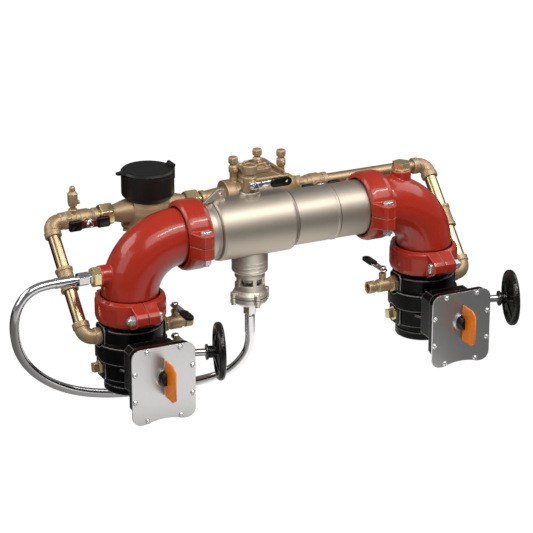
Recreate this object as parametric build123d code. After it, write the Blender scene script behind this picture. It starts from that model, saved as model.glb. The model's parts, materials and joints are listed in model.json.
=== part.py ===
"""Reduced pressure detector assembly: a four inch backflow preventer with a metered bypass.

Frame: X along the spool from inlet to outlet, Y to the back, Z up, millimetres.
The origin is the centre of the inlet valve's lower grooved end.
"""

from build123d import *
import math
import os

# Main run, four inch grooved pipe
PIPE_OD = 114.3
PIPE_R = PIPE_OD / 2
BORE_R = 51.0
LAND = 15.9
GROOVE_W = 9.5
GROOVE_R = 110.1 / 2
VALVE_SPACING = 676.0
VALVE_H = 175.0
ELBOW_REACH = 132.0
SPOOL_Z = VALVE_H + ELBOW_REACH
SPOOL_START = ELBOW_REACH
SPOOL_END = VALVE_SPACING - ELBOW_REACH

# Clearances
FIT_GAP = 0.1        # between fixed pieces that screw or press together
MOVE_GAP = 0.4       # beside anything that moves

# Butterfly valves
BODY_R = 66.0
BELT_R = 74.0
BELT_H = 36.0
STEM_Z = 82.0
STEM_R = 8.0
PORT_Z_LOW = 53.0
PORT_Z_HIGH = 121.0
PORT_BOSS_R = 21.0
PORT_REACH = 68.0
PORT_DEPTH = 14.0
SPOT_FACE_R = 22.0
LINER_WALL = 4.0
LINER_H = 30.0
DISC_T = 9.0
DISC_HUB_R = 13.0
NECK_R = 24.0
NECK_FLANGE = 66.0
NECK_FLANGE_T = 8.0
NECK_REACH = 92.0
REAR_BOSS_R = 20.0
REAR_BOSS_REACH = 82.0
STEM_REAR = 68.0

# Gear operators
PLATE_Y = 171.0
PLATE_T = 3.0
PLATE_W = 137.0
PLATE_H = 161.0
PLATE_CORNER = 20.0
PLATE_OFF_X = -2.0
PLATE_OFF_Z = -14.0
PLATE_DIP = 7.0
HOUSING_FLANGE_T = 17.0
HOUSING_CHAMFER = 32.0
HOUSING_W = 108.0
HOUSING_H = 100.0
HOUSING_OFF_Z = -2.0
HOUSING_WALL = 8.0
SCREW_HEAD_R = 5.5
SCREW_HEAD_T = 3.4
SCREW_R = 2.5
SCREW_DEPTH = 14.0
SCREW_SPOTS = [(35.8, 73.3), (62.3, 29.8), (62.3, -29.8), (36.1, -73.3)]
HOUSING_BOLT_R = 4.0
HOUSING_BOLT_SPOT = 26.0
WORM_TILT = 17.0
WORM_CENTRES = 27.0
WORM_Y = 115.0
WORM_R = 7.5
WORM_L = 40.0
JOURNAL_R = 5.0
JOURNAL_L = 14.0
WHEEL_GEAR_T = 12.0
WHEEL_GEAR_TEETH = 30
HANDWHEEL_AT = 132.6
HANDWHEEL_R = 59.0
RIM_SECTION_R = 6.2
RIM_WIDTH = 15.0
HUB_R = 12.5
HUB_L = 36.0
SPOKES = 5
WEB_T = 3.0
FLAG_T = 3.0
FLAG_START = 4.0
FLAG_REACH = 50.0
FLAG_H = 78.0
FLAG_EDGE_H = 60.0
FLAG_CHAMFER = 14.0
KNOB_R = 14.0
KNOB_L = 15.0
RING_R = 19.0
RING_T = 5.0

# Grooved elbows
ELBOW_R = 58.4
ELBOW_STRAIGHT = 28.0
ELBOW_BOSS_AT = 58.5
ELBOW_BOSS_R = 21.5
ELBOW_BOSS_REACH = 68.0
ELBOW_PORT_R = 15.0

# Grooved couplings
COUPLING_W = 54.0
COUPLING_R = 72.5
COUPLING_SHOULDER = 12.0
COUPLING_BOLT_AT = 83.0
COUPLING_BOLT_R = 6.0
PAD_REACH = 97.0
PAD_W = 40.0
PAD_H = 26.0
SPLIT_GAP = 2.0
GASKET_W = 28.0
GASKET_R = 64.5
BOLT_HEAD_T = 7.0
NUT_T = 10.0
NUT_AF = 19.0

# Check valve spool
SEAM_X = SPOOL_START + 49.0
STEP_X = SPOOL_START + 218.0
BEAD_X = SPOOL_START + 315.0
SPOOL_BIG_R = 64.5
SPOOL_BIG_BORE = 60.0
BEAD_R = 58.7
CHECK_X = [SPOOL_START + 58.0, SPOOL_START + 242.0]
CHECK_SEAT_T = 9.0
CHECK_TRAVEL = 12.0
CHECK_DISC_T = 8.0
CHECK_STEM_R = 4.0
CHECK_GUIDE_AT = 48.0
CHECK_GUIDE_T = 5.0
CHECK_SPRING_WIRE = 1.4
PORT_X = SPOOL_START + 135.0
RING_PORT_R = 21.3
RING_PORT_TOP = SPOOL_Z + 73.0
LUG_X = SPOOL_START + 29.0
LUG_L = 50.0
LUG_RISE = 22.0
LUG_T = 6.0
LUG_HOLE_R = 4.5

# Relief valve under the spool
STUB_R = 26.0
STUB_BORE = 19.0
STUB_Z = 212.0
COLLAR_R = 37.6
COLLAR_Z = 206.0
COLLAR_RIDGES = 3
RELIEF_R = 31.3
RELIEF_BORE = 24.0
RELIEF_SPLIT_Z = 152.0
WINDOW_Z = 187.5
WINDOW_H = 15.0
WINDOW_ARC = 56.0
WINDOWS = 5
WINDOW_START = 229.0
RELIEF_FLANGE_R = 36.5
RELIEF_BOTTOM = 131.0
EAR_AT = 37.0
EAR_R = 6.6
EAR_H = 10.0
DIAPHRAGM_T = 1.6
RELIEF_TRAVEL = 6.0
RELIEF_STEM_R = 4.0
RELIEF_PISTON_R = 20.0
RELIEF_PISTON_T = 5.0
SPIDER_Z = 173.0
SPIDER_T = 5.0

# Sensing hose and its ends
HOSE_R = 9.6
FERRULE_R = 10.8
FERRULE_L = 40.0
HOSE_HEX_AF = 25.0
HOSE_START_X = -161.0
HOSE_END_Z = 70.0
ELBOW_PORT_Z = SPOOL_Z - ELBOW_BOSS_AT

# Test cocks
COCK_BODY_R = 12.5
COCK_BALL_R = 9.0
COCK_BORE = 6.5
COCK_STEM_AT = 30.0
COCK_LENGTH = 66.0
COCK_END_R = 13.2
COCK_THREAD_R = 9.4
COCK_THREAD_L = 12.0
COCK_NIPPLE_L = 9.0
COCK_NIPPLE_AF = 31.0
COCK_SPIGOT_R = 10.5
COCK_LEVER_AT = 34.0
LEVER_L = 86.0
LEVER_W = 15.0
LEVER_T = 3.0
GRIP_L = 44.0
GRIP_T = 6.0
LEVER_HOLE_R = 3.6
SPOOL_COCK_STEM_AT = 18.0
SPOOL_COCK_LENGTH = 56.0
SPOOL_COCK_LEVER_AT = 24.0

# Three quarter inch bypass
TUBE_R = 26.7 / 2
TUBE_BORE = 10.4
BYPASS_Y = 180.0
BYPASS_Z = 308.6
BYPASS_OUT = 101.0
SMALL_ELBOW_REACH = 33.0
SMALL_ELBOW_BEND = 20.0
SMALL_ELBOW_R = 15.8
SOCKET_R = 17.8
SOCKET_DEPTH = 13.0
SOCKET_BEAD = 12.0
MID_COUPLING_L = 50.0
BALL_VALVE_L = 71.0
BALL_VALVE_STEM = 39.0
BALL_VALVE_R = 19.0
BALL_R = 13.0
T_HANDLE_AT = 38.0
T_HANDLE_REACH = 45.0
T_GRIP_L = 28.0
T_GRIP_H = 23.0
T_GRIP_T = 11.0
BRANCH_COCK_AT = 19.0
UNION_AF = 42.0
UNION_L = 28.0
SPUD_R = 15.4
METER_X = 118.5
METER_HALF = 81.5
METER_CASE_R = 50.0
METER_CASE_TOP = 331.0
METER_FLANGE_R = 57.0
METER_BASE_Z = 272.0
METER_BOLTS = 6
REGISTER_R = 55.5
REGISTER_TOP = 383.0
LID_TOP = 395.0
LID_LIP = 14.0
HINGE_X = 172.0
HINGE_Z = 397.0
HINGE_R = 4.5
HINGE_PIN_R = 2.0
HINGE_HALF = 13.0
ADAPTER_X = 237.0
PREVENTER_X = 286.0
PREVENTER_END = 462.0
PREVENTER_R = 30.0
PREVENTER_TOP = 366.0
PREVENTER_COVER_T = 8.0
SMALL_COCK_X = [314.0, 370.0, 426.0]
VALVE2_X = PREVENTER_END

LEFT, RIGHT = (-1, 0, 0), (1, 0, 0)
FRONT, BACK = (0, -1, 0), (0, 1, 0)
DOWN, UP = (0, 0, -1), (0, 0, 1)
BOTTOM = (Align.CENTER, Align.CENTER, Align.MIN)

nodes = {}


def along(start, direction, distance):
    """Point at a distance from a start point along a unit direction."""
    return tuple(s + d * distance for s, d in zip(start, direction))


def rod(start, direction, length, radius):
    """Solid cylinder that begins at a point."""
    return Plane(start, z_dir=direction) * Cylinder(radius, length, align=BOTTOM)


def tube(start, direction, length, radius, bore):
    """Hollow cylinder that begins at a point."""
    return rod(start, direction, length, radius) - rod(start, direction, length, bore)


def taper(start, direction, length, radius, end_radius):
    """Solid cone frustum that begins at a point."""
    return Plane(start, z_dir=direction) * Cone(radius, end_radius, length, align=BOTTOM)


def turned(outline, start, direction):
    """Solid turned about an axis from (radius, distance) points."""
    face = make_face(Polyline(*[(r, 0, h) for r, h in outline], close=True))
    return Plane(start, z_dir=direction) * revolve(face, Axis.Z)


def hexagon(start, direction, length, across_flats, spin=0):
    """Hexagonal prism that begins at a point."""
    profile = Rot(0, 0, spin) * RegularPolygon(across_flats / 2, 6, major_radius=False)
    return Plane(start, z_dir=direction) * extrude(profile, length)


def block(low, high):
    """Box between two corners."""
    size = [b - a for a, b in zip(low, high)]
    middle = [(a + b) / 2 for a, b in zip(low, high)]
    return Pos(*middle) * Box(*size)


def in_xz(outline, y_front, thickness):
    """Plate that faces the front, from (x, z) points or a face, thick towards the back."""
    plane = Plane((0, y_front, 0), x_dir=(1, 0, 0), z_dir=(0, -1, 0))
    return plane * extrude(outline, -thickness)


def polygon(points):
    """Closed flat outline."""
    return make_face(Polyline(*points, close=True))


def spring(start, direction, length, mean_radius, wire, turns):
    """Round wire compression spring."""
    coil = Helix(length / turns, length, mean_radius)
    section = Plane(coil @ 0, z_dir=coil % 0) * Circle(wire)
    return Plane(start, z_dir=direction) * sweep(section, path=coil)


def grooved_end(bore):
    """Points of a grooved pipe end that starts at distance zero."""
    return [(bore, 0), (PIPE_R, 0), (PIPE_R, LAND), (GROOVE_R, LAND),
            (GROOVE_R, LAND + GROOVE_W), (PIPE_R, LAND + GROOVE_W)]


def butterfly_body(x0):
    """Cast valve body with grooved ends, four side ports and the operator neck."""
    belt_low = STEM_Z + 6 - BELT_H / 2
    belt_high = belt_low + BELT_H
    lower = grooved_end(0)
    upper = [(r, VALVE_H - h) for r, h in reversed(grooved_end(0))]
    outline = lower + [(BODY_R, 32), (BODY_R, belt_low - 4), (BELT_R, belt_low), (BELT_R, belt_high),
                       (BODY_R, belt_high + 4), (BODY_R, 138), (PIPE_R, 146)] + upper
    body = turned(outline, (x0, 0, 0), UP)
    core = rod((x0, 0, -1), UP, VALVE_H + 2, BORE_R)
    ports = [(side, z) for side in (LEFT, RIGHT) for z in (PORT_Z_LOW, PORT_Z_HIGH)]
    for side, z in ports:
        body += rod((x0, 0, z), side, PORT_REACH, PORT_BOSS_R)
    half = NECK_FLANGE / 2
    body += rod((x0, 0, STEM_Z), FRONT, NECK_REACH, NECK_R)
    body += block((x0 - half, -NECK_REACH, STEM_Z - half),
                  (x0 + half, -NECK_REACH + NECK_FLANGE_T, STEM_Z + half))
    body += rod((x0, 0, STEM_Z), BACK, REAR_BOSS_REACH, REAR_BOSS_R)
    body -= core
    for side, z in ports:
        face = along((x0, 0, z), side, PORT_REACH)
        inward = tuple(-c for c in side)
        body -= rod(face, side, 12, SPOT_FACE_R)
        body -= rod(face, inward, PORT_DEPTH, TUBE_R + FIT_GAP)
        body -= rod(face, inward, PORT_REACH - BORE_R + 6, COCK_BORE + 1)
    body -= rod((x0, -NECK_REACH - 1, STEM_Z), BACK, NECK_REACH + 1 + STEM_REAR + 1, STEM_R + MOVE_GAP)
    for dx in (-HOUSING_BOLT_SPOT, HOUSING_BOLT_SPOT):
        for dz in (-HOUSING_BOLT_SPOT, HOUSING_BOLT_SPOT):
            body -= rod((x0 + dx, -NECK_REACH - 1, STEM_Z + dz), BACK, NECK_FLANGE_T + 2,
                        HOUSING_BOLT_R + FIT_GAP)
    return body


def seat_liner(x0):
    """Rubber ring that the closed disc seals against."""
    low = STEM_Z - LINER_H / 2
    ring = tube((x0, 0, low), UP, LINER_H, BORE_R - FIT_GAP, BORE_R - LINER_WALL)
    return ring - rod((x0, -BORE_R - 5, STEM_Z), BACK, 2 * BORE_R + 10, STEM_R + MOVE_GAP)


def butterfly_disc(x0):
    """Disc, stem and worm wheel of one valve, with the disc open along the flow."""
    centre = (x0, 0, STEM_Z)
    disc_r = BORE_R - LINER_WALL - MOVE_GAP
    half, hub_end = DISC_T / 2, disc_r - 3
    edge = math.sqrt(disc_r ** 2 - half ** 2)
    disc = turned([(0, -half), (edge, -half), (disc_r, -half * 0.4), (disc_r, half * 0.4), (edge, half), (0, half)],
                  centre, RIGHT)
    disc += rod(along(centre, FRONT, hub_end), BACK, 2 * hub_end, DISC_HUB_R)
    stem_front = PLATE_Y + KNOB_L - 4
    stem_hole = rod(along(centre, FRONT, stem_front), BACK, stem_front + STEM_REAR, STEM_R + FIT_GAP)
    stem = rod(along(centre, FRONT, stem_front), BACK, stem_front + STEM_REAR, STEM_R)
    gear_r = WORM_CENTRES - WORM_R - MOVE_GAP
    gear = rod((x0, -WORM_Y - WHEEL_GEAR_T / 2, STEM_Z), BACK, WHEEL_GEAR_T, gear_r)
    for i in range(WHEEL_GEAR_TEETH):
        angle = math.radians(360 * (i + 0.5) / WHEEL_GEAR_TEETH)
        notch = (x0 + gear_r * math.cos(angle), -WORM_Y - WHEEL_GEAR_T, STEM_Z + gear_r * math.sin(angle))
        gear -= rod(notch, BACK, 2 * WHEEL_GEAR_T, 1.1)
    return [disc - stem_hole, stem, gear - stem_hole]


def plate_outline(grow=0.0):
    """Outline of the cover plate about its own centre, with the shallow dip in its lower edge."""
    plate = RectangleRounded(PLATE_W + 2 * grow, PLATE_H + 2 * grow, PLATE_CORNER)
    dip_half = PLATE_W * 0.3
    dip_r = (dip_half ** 2 + PLATE_DIP ** 2) / (2 * PLATE_DIP)
    return plate - Pos(0, -PLATE_H / 2 + PLATE_DIP - dip_r) * Circle(dip_r)


def plate_screw_spots(x0):
    """Centres of the cover screws in X and Z."""
    for dx, dz in SCREW_SPOTS:
        for side in (-1, 1):
            yield x0 + PLATE_OFF_X + side * dx, STEM_Z + PLATE_OFF_Z + dz


def worm_point(x0, distance):
    """Point on the worm shaft's axis, by its distance from above the stem."""
    return along((x0, -WORM_Y, STEM_Z + WORM_CENTRES), WORM_AXIS, distance)


WORM_AXIS = (math.cos(math.radians(WORM_TILT)), -math.sin(math.radians(WORM_TILT)), 0)


def gear_housing(x0):
    """Cast operator case, open at the front under the cover plate."""
    top = STEM_Z + PLATE_OFF_Z
    flange_face = Pos(x0 + PLATE_OFF_X, top) * plate_outline(-1.5)
    front = -(PLATE_Y - PLATE_T)
    flange = in_xz(flange_face, front, HOUSING_FLANGE_T)
    for side in (-1, 1):
        corner = (x0 + PLATE_OFF_X + side * PLATE_W / 2, top - PLATE_H / 2)
        cut = polygon([corner, (corner[0] - side * HOUSING_CHAMFER * 0.8, corner[1]),
                       (corner[0], corner[1] + HOUSING_CHAMFER * 1.15)])
        flange -= in_xz(cut, front - 1, HOUSING_FLANGE_T + 2)
    half_w, half_h = HOUSING_W / 2, HOUSING_H / 2
    shell_face = Pos(x0, STEM_Z + HOUSING_OFF_Z) * RectangleRounded(HOUSING_W, HOUSING_H, 16)
    shell = in_xz(shell_face, front, -front - NECK_REACH)
    housing = flange + shell
    housing += rod(worm_point(x0, 44), WORM_AXIS, 22, WORM_R + 6)
    hollow_face = Pos(x0, STEM_Z + HOUSING_OFF_Z) * RectangleRounded(HOUSING_W - 2 * HOUSING_WALL,
                                                         HOUSING_H - 2 * HOUSING_WALL, 10)
    housing -= in_xz(hollow_face, front - 1, -front - NECK_REACH - HOUSING_WALL + 1)
    bearing = rod(worm_point(x0, -WORM_L / 2 - 1), tuple(-c for c in WORM_AXIS), 26, JOURNAL_R + 6)
    housing += bearing & in_xz(shell_face, front, -front - NECK_REACH)
    housing -= rod(worm_point(x0, 40), WORM_AXIS, 40, WORM_R + MOVE_GAP)
    housing -= rod(worm_point(x0, -WORM_L / 2 - JOURNAL_L - 1), WORM_AXIS, 30, JOURNAL_R + MOVE_GAP)
    housing -= rod((x0, -PLATE_Y, STEM_Z), BACK, PLATE_Y, STEM_R + MOVE_GAP)
    for x, z in plate_screw_spots(x0):
        housing -= rod((x, front - 1, z), BACK, SCREW_DEPTH + 1, SCREW_R + FIT_GAP)
    for dx in (-HOUSING_BOLT_SPOT, HOUSING_BOLT_SPOT):
        for dz in (-HOUSING_BOLT_SPOT, HOUSING_BOLT_SPOT):
            housing -= rod((x0 + dx, -NECK_REACH + 1, STEM_Z + dz), FRONT, HOUSING_WALL + 3,
                           HOUSING_BOLT_R + FIT_GAP)
    return housing


def cover_plate(x0):
    """Flat cover with eight screw holes and the hole for the indicator stem."""
    face = Pos(x0 + PLATE_OFF_X, STEM_Z + PLATE_OFF_Z) * plate_outline()
    plate = in_xz(face, -PLATE_Y, PLATE_T)
    plate -= rod((x0, -PLATE_Y - 1, STEM_Z), BACK, PLATE_T + 2, STEM_R + MOVE_GAP)
    for x, z in plate_screw_spots(x0):
        plate -= rod((x, -PLATE_Y - 1, z), BACK, PLATE_T + 2, SCREW_R + FIT_GAP)
    return plate


def cover_screws(x0):
    """Pan head screws with a hexagon socket."""
    for x, z in plate_screw_spots(x0):
        head = turned([(0, 0), (SCREW_HEAD_R, 0), (SCREW_HEAD_R, SCREW_HEAD_T * 0.45),
                       (SCREW_HEAD_R * 0.62, SCREW_HEAD_T), (0, SCREW_HEAD_T)], (x, -PLATE_Y, z), FRONT)
        shank = rod((x, -PLATE_Y, z), BACK, SCREW_DEPTH, SCREW_R)
        socket = hexagon((x, -PLATE_Y - SCREW_HEAD_T - 1, z), BACK, SCREW_HEAD_T * 0.6 + 1, 4.0)
        yield head + shank - socket


def housing_bolts(x0):
    """Hexagon head bolts that hold the operator to the neck flange."""
    back = -NECK_REACH + NECK_FLANGE_T
    for dx in (-HOUSING_BOLT_SPOT, HOUSING_BOLT_SPOT):
        for dz in (-HOUSING_BOLT_SPOT, HOUSING_BOLT_SPOT):
            head = hexagon((x0 + dx, back, STEM_Z + dz), BACK, 4.5, 12)
            yield head + rod((x0 + dx, back, STEM_Z + dz), FRONT, NECK_FLANGE_T + HOUSING_WALL, HOUSING_BOLT_R)


def worm_shaft(x0):
    """Worm with its journal and the long shaft out to the handwheel."""
    shaft = rod(worm_point(x0, -WORM_L / 2 - JOURNAL_L), WORM_AXIS, JOURNAL_L + 2, JOURNAL_R)
    shaft += rod(worm_point(x0, -WORM_L / 2), WORM_AXIS, HANDWHEEL_AT + WORM_L / 2 + 8, WORM_R)
    for i in range(6):
        ring = tube(worm_point(x0, -15 + 6 * i - 1.2), WORM_AXIS, 2.4, WORM_R + 1, WORM_R - 1.2)
        shaft -= ring
    return shaft


def handwheel(x0):
    """Dished handwheel: rim, spokes and hub."""
    plane = Plane(worm_point(x0, HANDWHEEL_AT), x_dir=(0, 0, 1), z_dir=WORM_AXIS)
    mid_r = HANDWHEEL_R - RIM_SECTION_R
    section = Plane.XZ * Pos(mid_r, 0) * Rot(0, 0, 90) * SlotOverall(RIM_WIDTH, 2 * RIM_SECTION_R)
    wheel = revolve(section, Axis.Z)
    wheel += Pos(0, 0, -HUB_L + 8) * Cylinder(HUB_R, HUB_L, align=BOTTOM)
    wheel += Pos(0, 0, -HUB_L + 8) * Cylinder(HUB_R + 3.5, 5, align=BOTTOM)
    web = [(HUB_R - 2, -9), (mid_r, -WEB_T / 2), (mid_r, WEB_T / 2), (HUB_R - 2, -9 + 1.6 * WEB_T)]
    wheel += revolve(make_face(Polyline(*[(r, 0, h) for r, h in web], close=True)), Axis.Z)
    for i in range(SPOKES):
        inner = (HUB_R - 3, 0, -8)
        outer = (mid_r, 0, 0)
        reach = math.dist(inner, outer)
        lean = tuple((b - a) / reach for a, b in zip(inner, outer))
        spoke = Plane(inner, x_dir=(0, 1, 0), z_dir=lean) * extrude(Ellipse(6.5, 3.6), reach)
        wheel += Rot(0, 0, 360 / SPOKES * i) * spoke
    wheel -= Pos(0, 0, -HUB_L) * Cylinder(WORM_R + FIT_GAP, HUB_L + 20, align=BOTTOM)
    return plane * wheel


def position_flag(x0):
    """Indicator on the stem: a flat fin set along the flow, and its knob."""
    front = -PLATE_Y
    fin_front = front - FLAG_START
    fin_end = fin_front - FLAG_REACH
    half, edge = FLAG_H / 2, FLAG_EDGE_H / 2
    outline = [(fin_front, STEM_Z - half), (fin_end + FLAG_CHAMFER, STEM_Z - half), (fin_end, STEM_Z - edge),
               (fin_end, STEM_Z + edge), (fin_end + FLAG_CHAMFER, STEM_Z + half), (fin_front, STEM_Z + half)]
    fin_plane = Plane((x0 - FLAG_T / 2, 0, 0), x_dir=(0, 1, 0), z_dir=(1, 0, 0))
    fin = fin_plane * extrude(polygon(outline), FLAG_T)
    knob = taper((x0, front - MOVE_GAP, STEM_Z), FRONT, KNOB_L, KNOB_R, KNOB_R - 2)
    knob -= rod((x0, front + 1, STEM_Z), FRONT, KNOB_L - 4 + 1, STEM_R + FIT_GAP)
    knob -= block((x0 - FLAG_T / 2 - FIT_GAP, fin_end, STEM_Z - half),
                  (x0 + FLAG_T / 2 + FIT_GAP, front - KNOB_L * 0.8, STEM_Z + half))
    fin -= rod((x0, front + 1, STEM_Z), FRONT, RING_T + MOVE_GAP + 1, RING_R + MOVE_GAP)
    fin -= rod((x0, front + 1, STEM_Z), FRONT, KNOB_L * 0.8 + 1, KNOB_R + FIT_GAP)
    return [fin, knob]


def grooved_elbow(corner, first, second):
    """Ninety degree grooved elbow with a side boss on the outside of its first leg."""
    ends = [along(corner, first, ELBOW_REACH), along(corner, second, ELBOW_REACH)]
    bend_r = ELBOW_REACH - ELBOW_STRAIGHT
    path = FilletPolyline(ends[0], corner, ends[1], radius=bend_r)
    start = Plane(path @ 0, z_dir=path % 0)
    elbow = sweep(start * Circle(ELBOW_R), path=path)
    for end, leg in zip(ends, (first, second)):
        inward = tuple(-c for c in leg)
        elbow -= tube(along(end, leg, 1), inward, ELBOW_STRAIGHT + 0.5, ELBOW_R + 5, PIPE_R)
        elbow -= tube(along(end, inward, LAND), inward, GROOVE_W, ELBOW_R + 5, GROOVE_R)
    boss_start = along(corner, first, ELBOW_BOSS_AT)
    outward = tuple(-c for c in second)
    elbow += rod(boss_start, outward, ELBOW_BOSS_REACH, ELBOW_BOSS_R)
    elbow -= sweep(start * Circle(BORE_R), path=path)
    face = along(boss_start, outward, ELBOW_BOSS_REACH)
    inward = tuple(-c for c in outward)
    elbow -= rod(face, inward, 16, ELBOW_PORT_R + FIT_GAP)
    elbow -= rod(face, inward, 40, 9)
    return elbow


def coupling_frame(centre, axis):
    """Plane of a coupling: Z along the pipe, Y to the front bolt."""
    return Plane(centre, x_dir=UP if axis == RIGHT else RIGHT, z_dir=axis)


def grooved_coupling(centre, axis):
    """Two housings of a grooved coupling with their bolt pads."""
    half = COUPLING_W / 2
    key_in, key_out = LAND + 0.4, LAND + GROOVE_W - 0.4
    key_r = GROOVE_R + 0.4
    rim_r = PIPE_R + 1.2
    pocket_r = GASKET_R + 0.5
    pocket = GASKET_W / 2 + 0.5
    outline = [(rim_r, half), (COUPLING_R - 8, half), (COUPLING_R - 2, half - 4),
               (COUPLING_R, half - COUPLING_SHOULDER), (COUPLING_R, -half + COUPLING_SHOULDER),
               (COUPLING_R - 2, -half + 4), (COUPLING_R - 8, -half), (rim_r, -half),
               (rim_r, -key_out), (key_r, -key_out), (key_r, -key_in), (pocket_r, -key_in),
               (pocket_r, -pocket), (pocket_r, pocket), (pocket_r, key_in), (key_r, key_in),
               (key_r, key_out), (rim_r, key_out)]
    frame = coupling_frame((0, 0, 0), axis)
    ring = revolve(make_face(Polyline(*[(r, 0, h) for r, h in outline], close=True)), Axis.Z)
    clear = Cylinder(pocket_r + 3, COUPLING_W + 2)
    for side in (-1, 1):
        low_y, high_y = sorted((side * (pocket_r - 1), side * PAD_REACH))
        pad = block((-PAD_H, low_y, -PAD_W / 2), (PAD_H, high_y, PAD_W / 2))
        pad = chamfer(pad.edges().filter_by(Axis.Z), 5)
        ring += pad - clear
    for side in (-1, 1):
        ring -= rod((-PAD_H - 1, side * COUPLING_BOLT_AT, 0), RIGHT, 2 * PAD_H + 2, COUPLING_BOLT_R + FIT_GAP)
    big = 2 * PAD_REACH
    gap = SPLIT_GAP / 2
    upper = ring & block((gap, -big, -big), (big, big, big))
    lower = ring & block((-big, -big, -big), (-gap, big, big))
    place = Plane(centre, x_dir=frame.x_dir, z_dir=axis)
    return [place * upper, place * lower]


def coupling_fasteners(centre, axis, flip):
    """Track head bolts and hexagon nuts of one coupling."""
    frame = coupling_frame(centre, axis)
    for side in (-1, 1):
        top = PAD_H * flip
        out = RIGHT if flip > 0 else LEFT
        inward = LEFT if flip > 0 else RIGHT
        head_plane = Plane((top, side * COUPLING_BOLT_AT, 0), x_dir=(0, 0, 1), z_dir=out)
        head = head_plane * extrude(SlotOverall(22, 13), BOLT_HEAD_T)
        head = fillet(head.faces().sort_by(Axis.X)[-1 if flip > 0 else 0].edges(), 2.5)
        shank = rod((top, side * COUPLING_BOLT_AT, 0), inward, 2 * PAD_H + NUT_T + 5, COUPLING_BOLT_R)
        nut_start = (-PAD_H * flip, side * COUPLING_BOLT_AT, 0)
        nut = hexagon(nut_start, inward, NUT_T, NUT_AF)
        nut -= rod(nut_start, inward, NUT_T, COUPLING_BOLT_R + FIT_GAP)
        yield frame * (head + shank)
        yield frame * nut


def coupling_gasket(centre, axis):
    """Rubber ring that bridges the two pipe ends."""
    start = along(centre, axis, -GASKET_W / 2)
    return tube(start, axis, GASKET_W, GASKET_R, PIPE_R + FIT_GAP)


def check_spool():
    """Stainless body between the couplings, with the relief stub and its ports."""
    length = SPOOL_END - SPOOL_START
    seam, step, bead = (x - SPOOL_START for x in (SEAM_X, STEP_X, BEAD_X))
    start = grooved_end(0)
    end = [(r, length - h) for r, h in reversed(grooved_end(0))]
    outline = start + [(PIPE_R, seam - 8), (60.3, seam - 1.5), (60.3, seam - 0.8), (59.3, seam - 0.4),
                       (59.3, seam + 0.6), (60.6, seam + 1), (62.8, seam + 3.5), (SPOOL_BIG_R, seam + 9),
                       (SPOOL_BIG_R, step - 7), (SPOOL_BIG_R - 1.6, step - 3), (BEAD_R - 0.6, step + 1.5),
                       (PIPE_R + 0.5, step + 4), (PIPE_R + 0.5, bead - 4), (BEAD_R, bead - 2),
                       (BEAD_R, bead + 2), (PIPE_R, bead + 4)] + end
    spool = turned(outline, (SPOOL_START, 0, SPOOL_Z), RIGHT)
    spool += rod((PORT_X, 0, STUB_Z), UP, SPOOL_Z - STUB_Z, STUB_R)
    bore = [(0, -1), (BORE_R, -1), (BORE_R, seam - 4), (SPOOL_BIG_BORE, seam + 6),
            (SPOOL_BIG_BORE, step - 10), (BORE_R, step), (BORE_R, length + 1), (0, length + 1)]
    spool -= turned(bore, (SPOOL_START, 0, SPOOL_Z), RIGHT)
    spool -= rod((PORT_X, 0, STUB_Z - 1), UP, SPOOL_Z - STUB_Z, STUB_BORE)
    spool -= rod((PORT_X, 0, SPOOL_Z), UP, RING_PORT_TOP - SPOOL_Z, COCK_SPIGOT_R + FIT_GAP)
    return spool


def spool_skin():
    """Solid of the spool's big diameter, for cutting what is welded on it."""
    return rod((SPOOL_START, 0, SPOOL_Z), RIGHT, SPOOL_END - SPOOL_START, SPOOL_BIG_R + FIT_GAP)


def test_port_ring():
    """Welded ring that the spool's test cock screws into."""
    ring = tube((PORT_X, 0, SPOOL_Z), UP, RING_PORT_TOP - SPOOL_Z, RING_PORT_R, COCK_SPIGOT_R + FIT_GAP)
    ring = chamfer(ring.edges().filter_by(GeomType.CIRCLE).sort_by(Axis.Z)[-1], 1.5)
    return ring - spool_skin()


def lifting_lug():
    """Triangular lifting tab welded on top of the spool."""
    foot = SPOOL_Z + PIPE_R - 4
    top = SPOOL_Z + SPOOL_BIG_R + LUG_RISE
    outline = [(LUG_X, foot), (LUG_X + LUG_L, foot), (LUG_X + LUG_L, top - 3), (LUG_X + LUG_L - 3, top),
               (LUG_X + LUG_L - 16, top), (LUG_X, SPOOL_Z + PIPE_R + 3)]
    lug = in_xz(polygon(outline), -LUG_T / 2, LUG_T)
    lug -= rod((LUG_X + LUG_L - 10, -LUG_T, top - 10), BACK, 2 * LUG_T, LUG_HOLE_R)
    neck = rod((SPOOL_START, 0, SPOOL_Z), RIGHT, SEAM_X + 1 - SPOOL_START, 60.6 + FIT_GAP)
    body = rod((SEAM_X + 1, 0, SPOOL_Z), RIGHT, 100, SPOOL_BIG_R + FIT_GAP)
    return lug - neck - body


def check_bore(index):
    """Radius of the waterway around a check valve."""
    return SPOOL_BIG_BORE if index == 0 else BORE_R


def check_seat(index):
    """Ring that the check disc closes against."""
    x, wall = CHECK_X[index], check_bore(index) - FIT_GAP
    lip = wall - 18
    return turned([(lip, 0), (wall, 0), (wall, CHECK_SEAT_T - 2), (lip + 3, CHECK_SEAT_T - 2),
                   (lip + 3, CHECK_SEAT_T), (lip, CHECK_SEAT_T)], (x, 0, SPOOL_Z), RIGHT)


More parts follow.
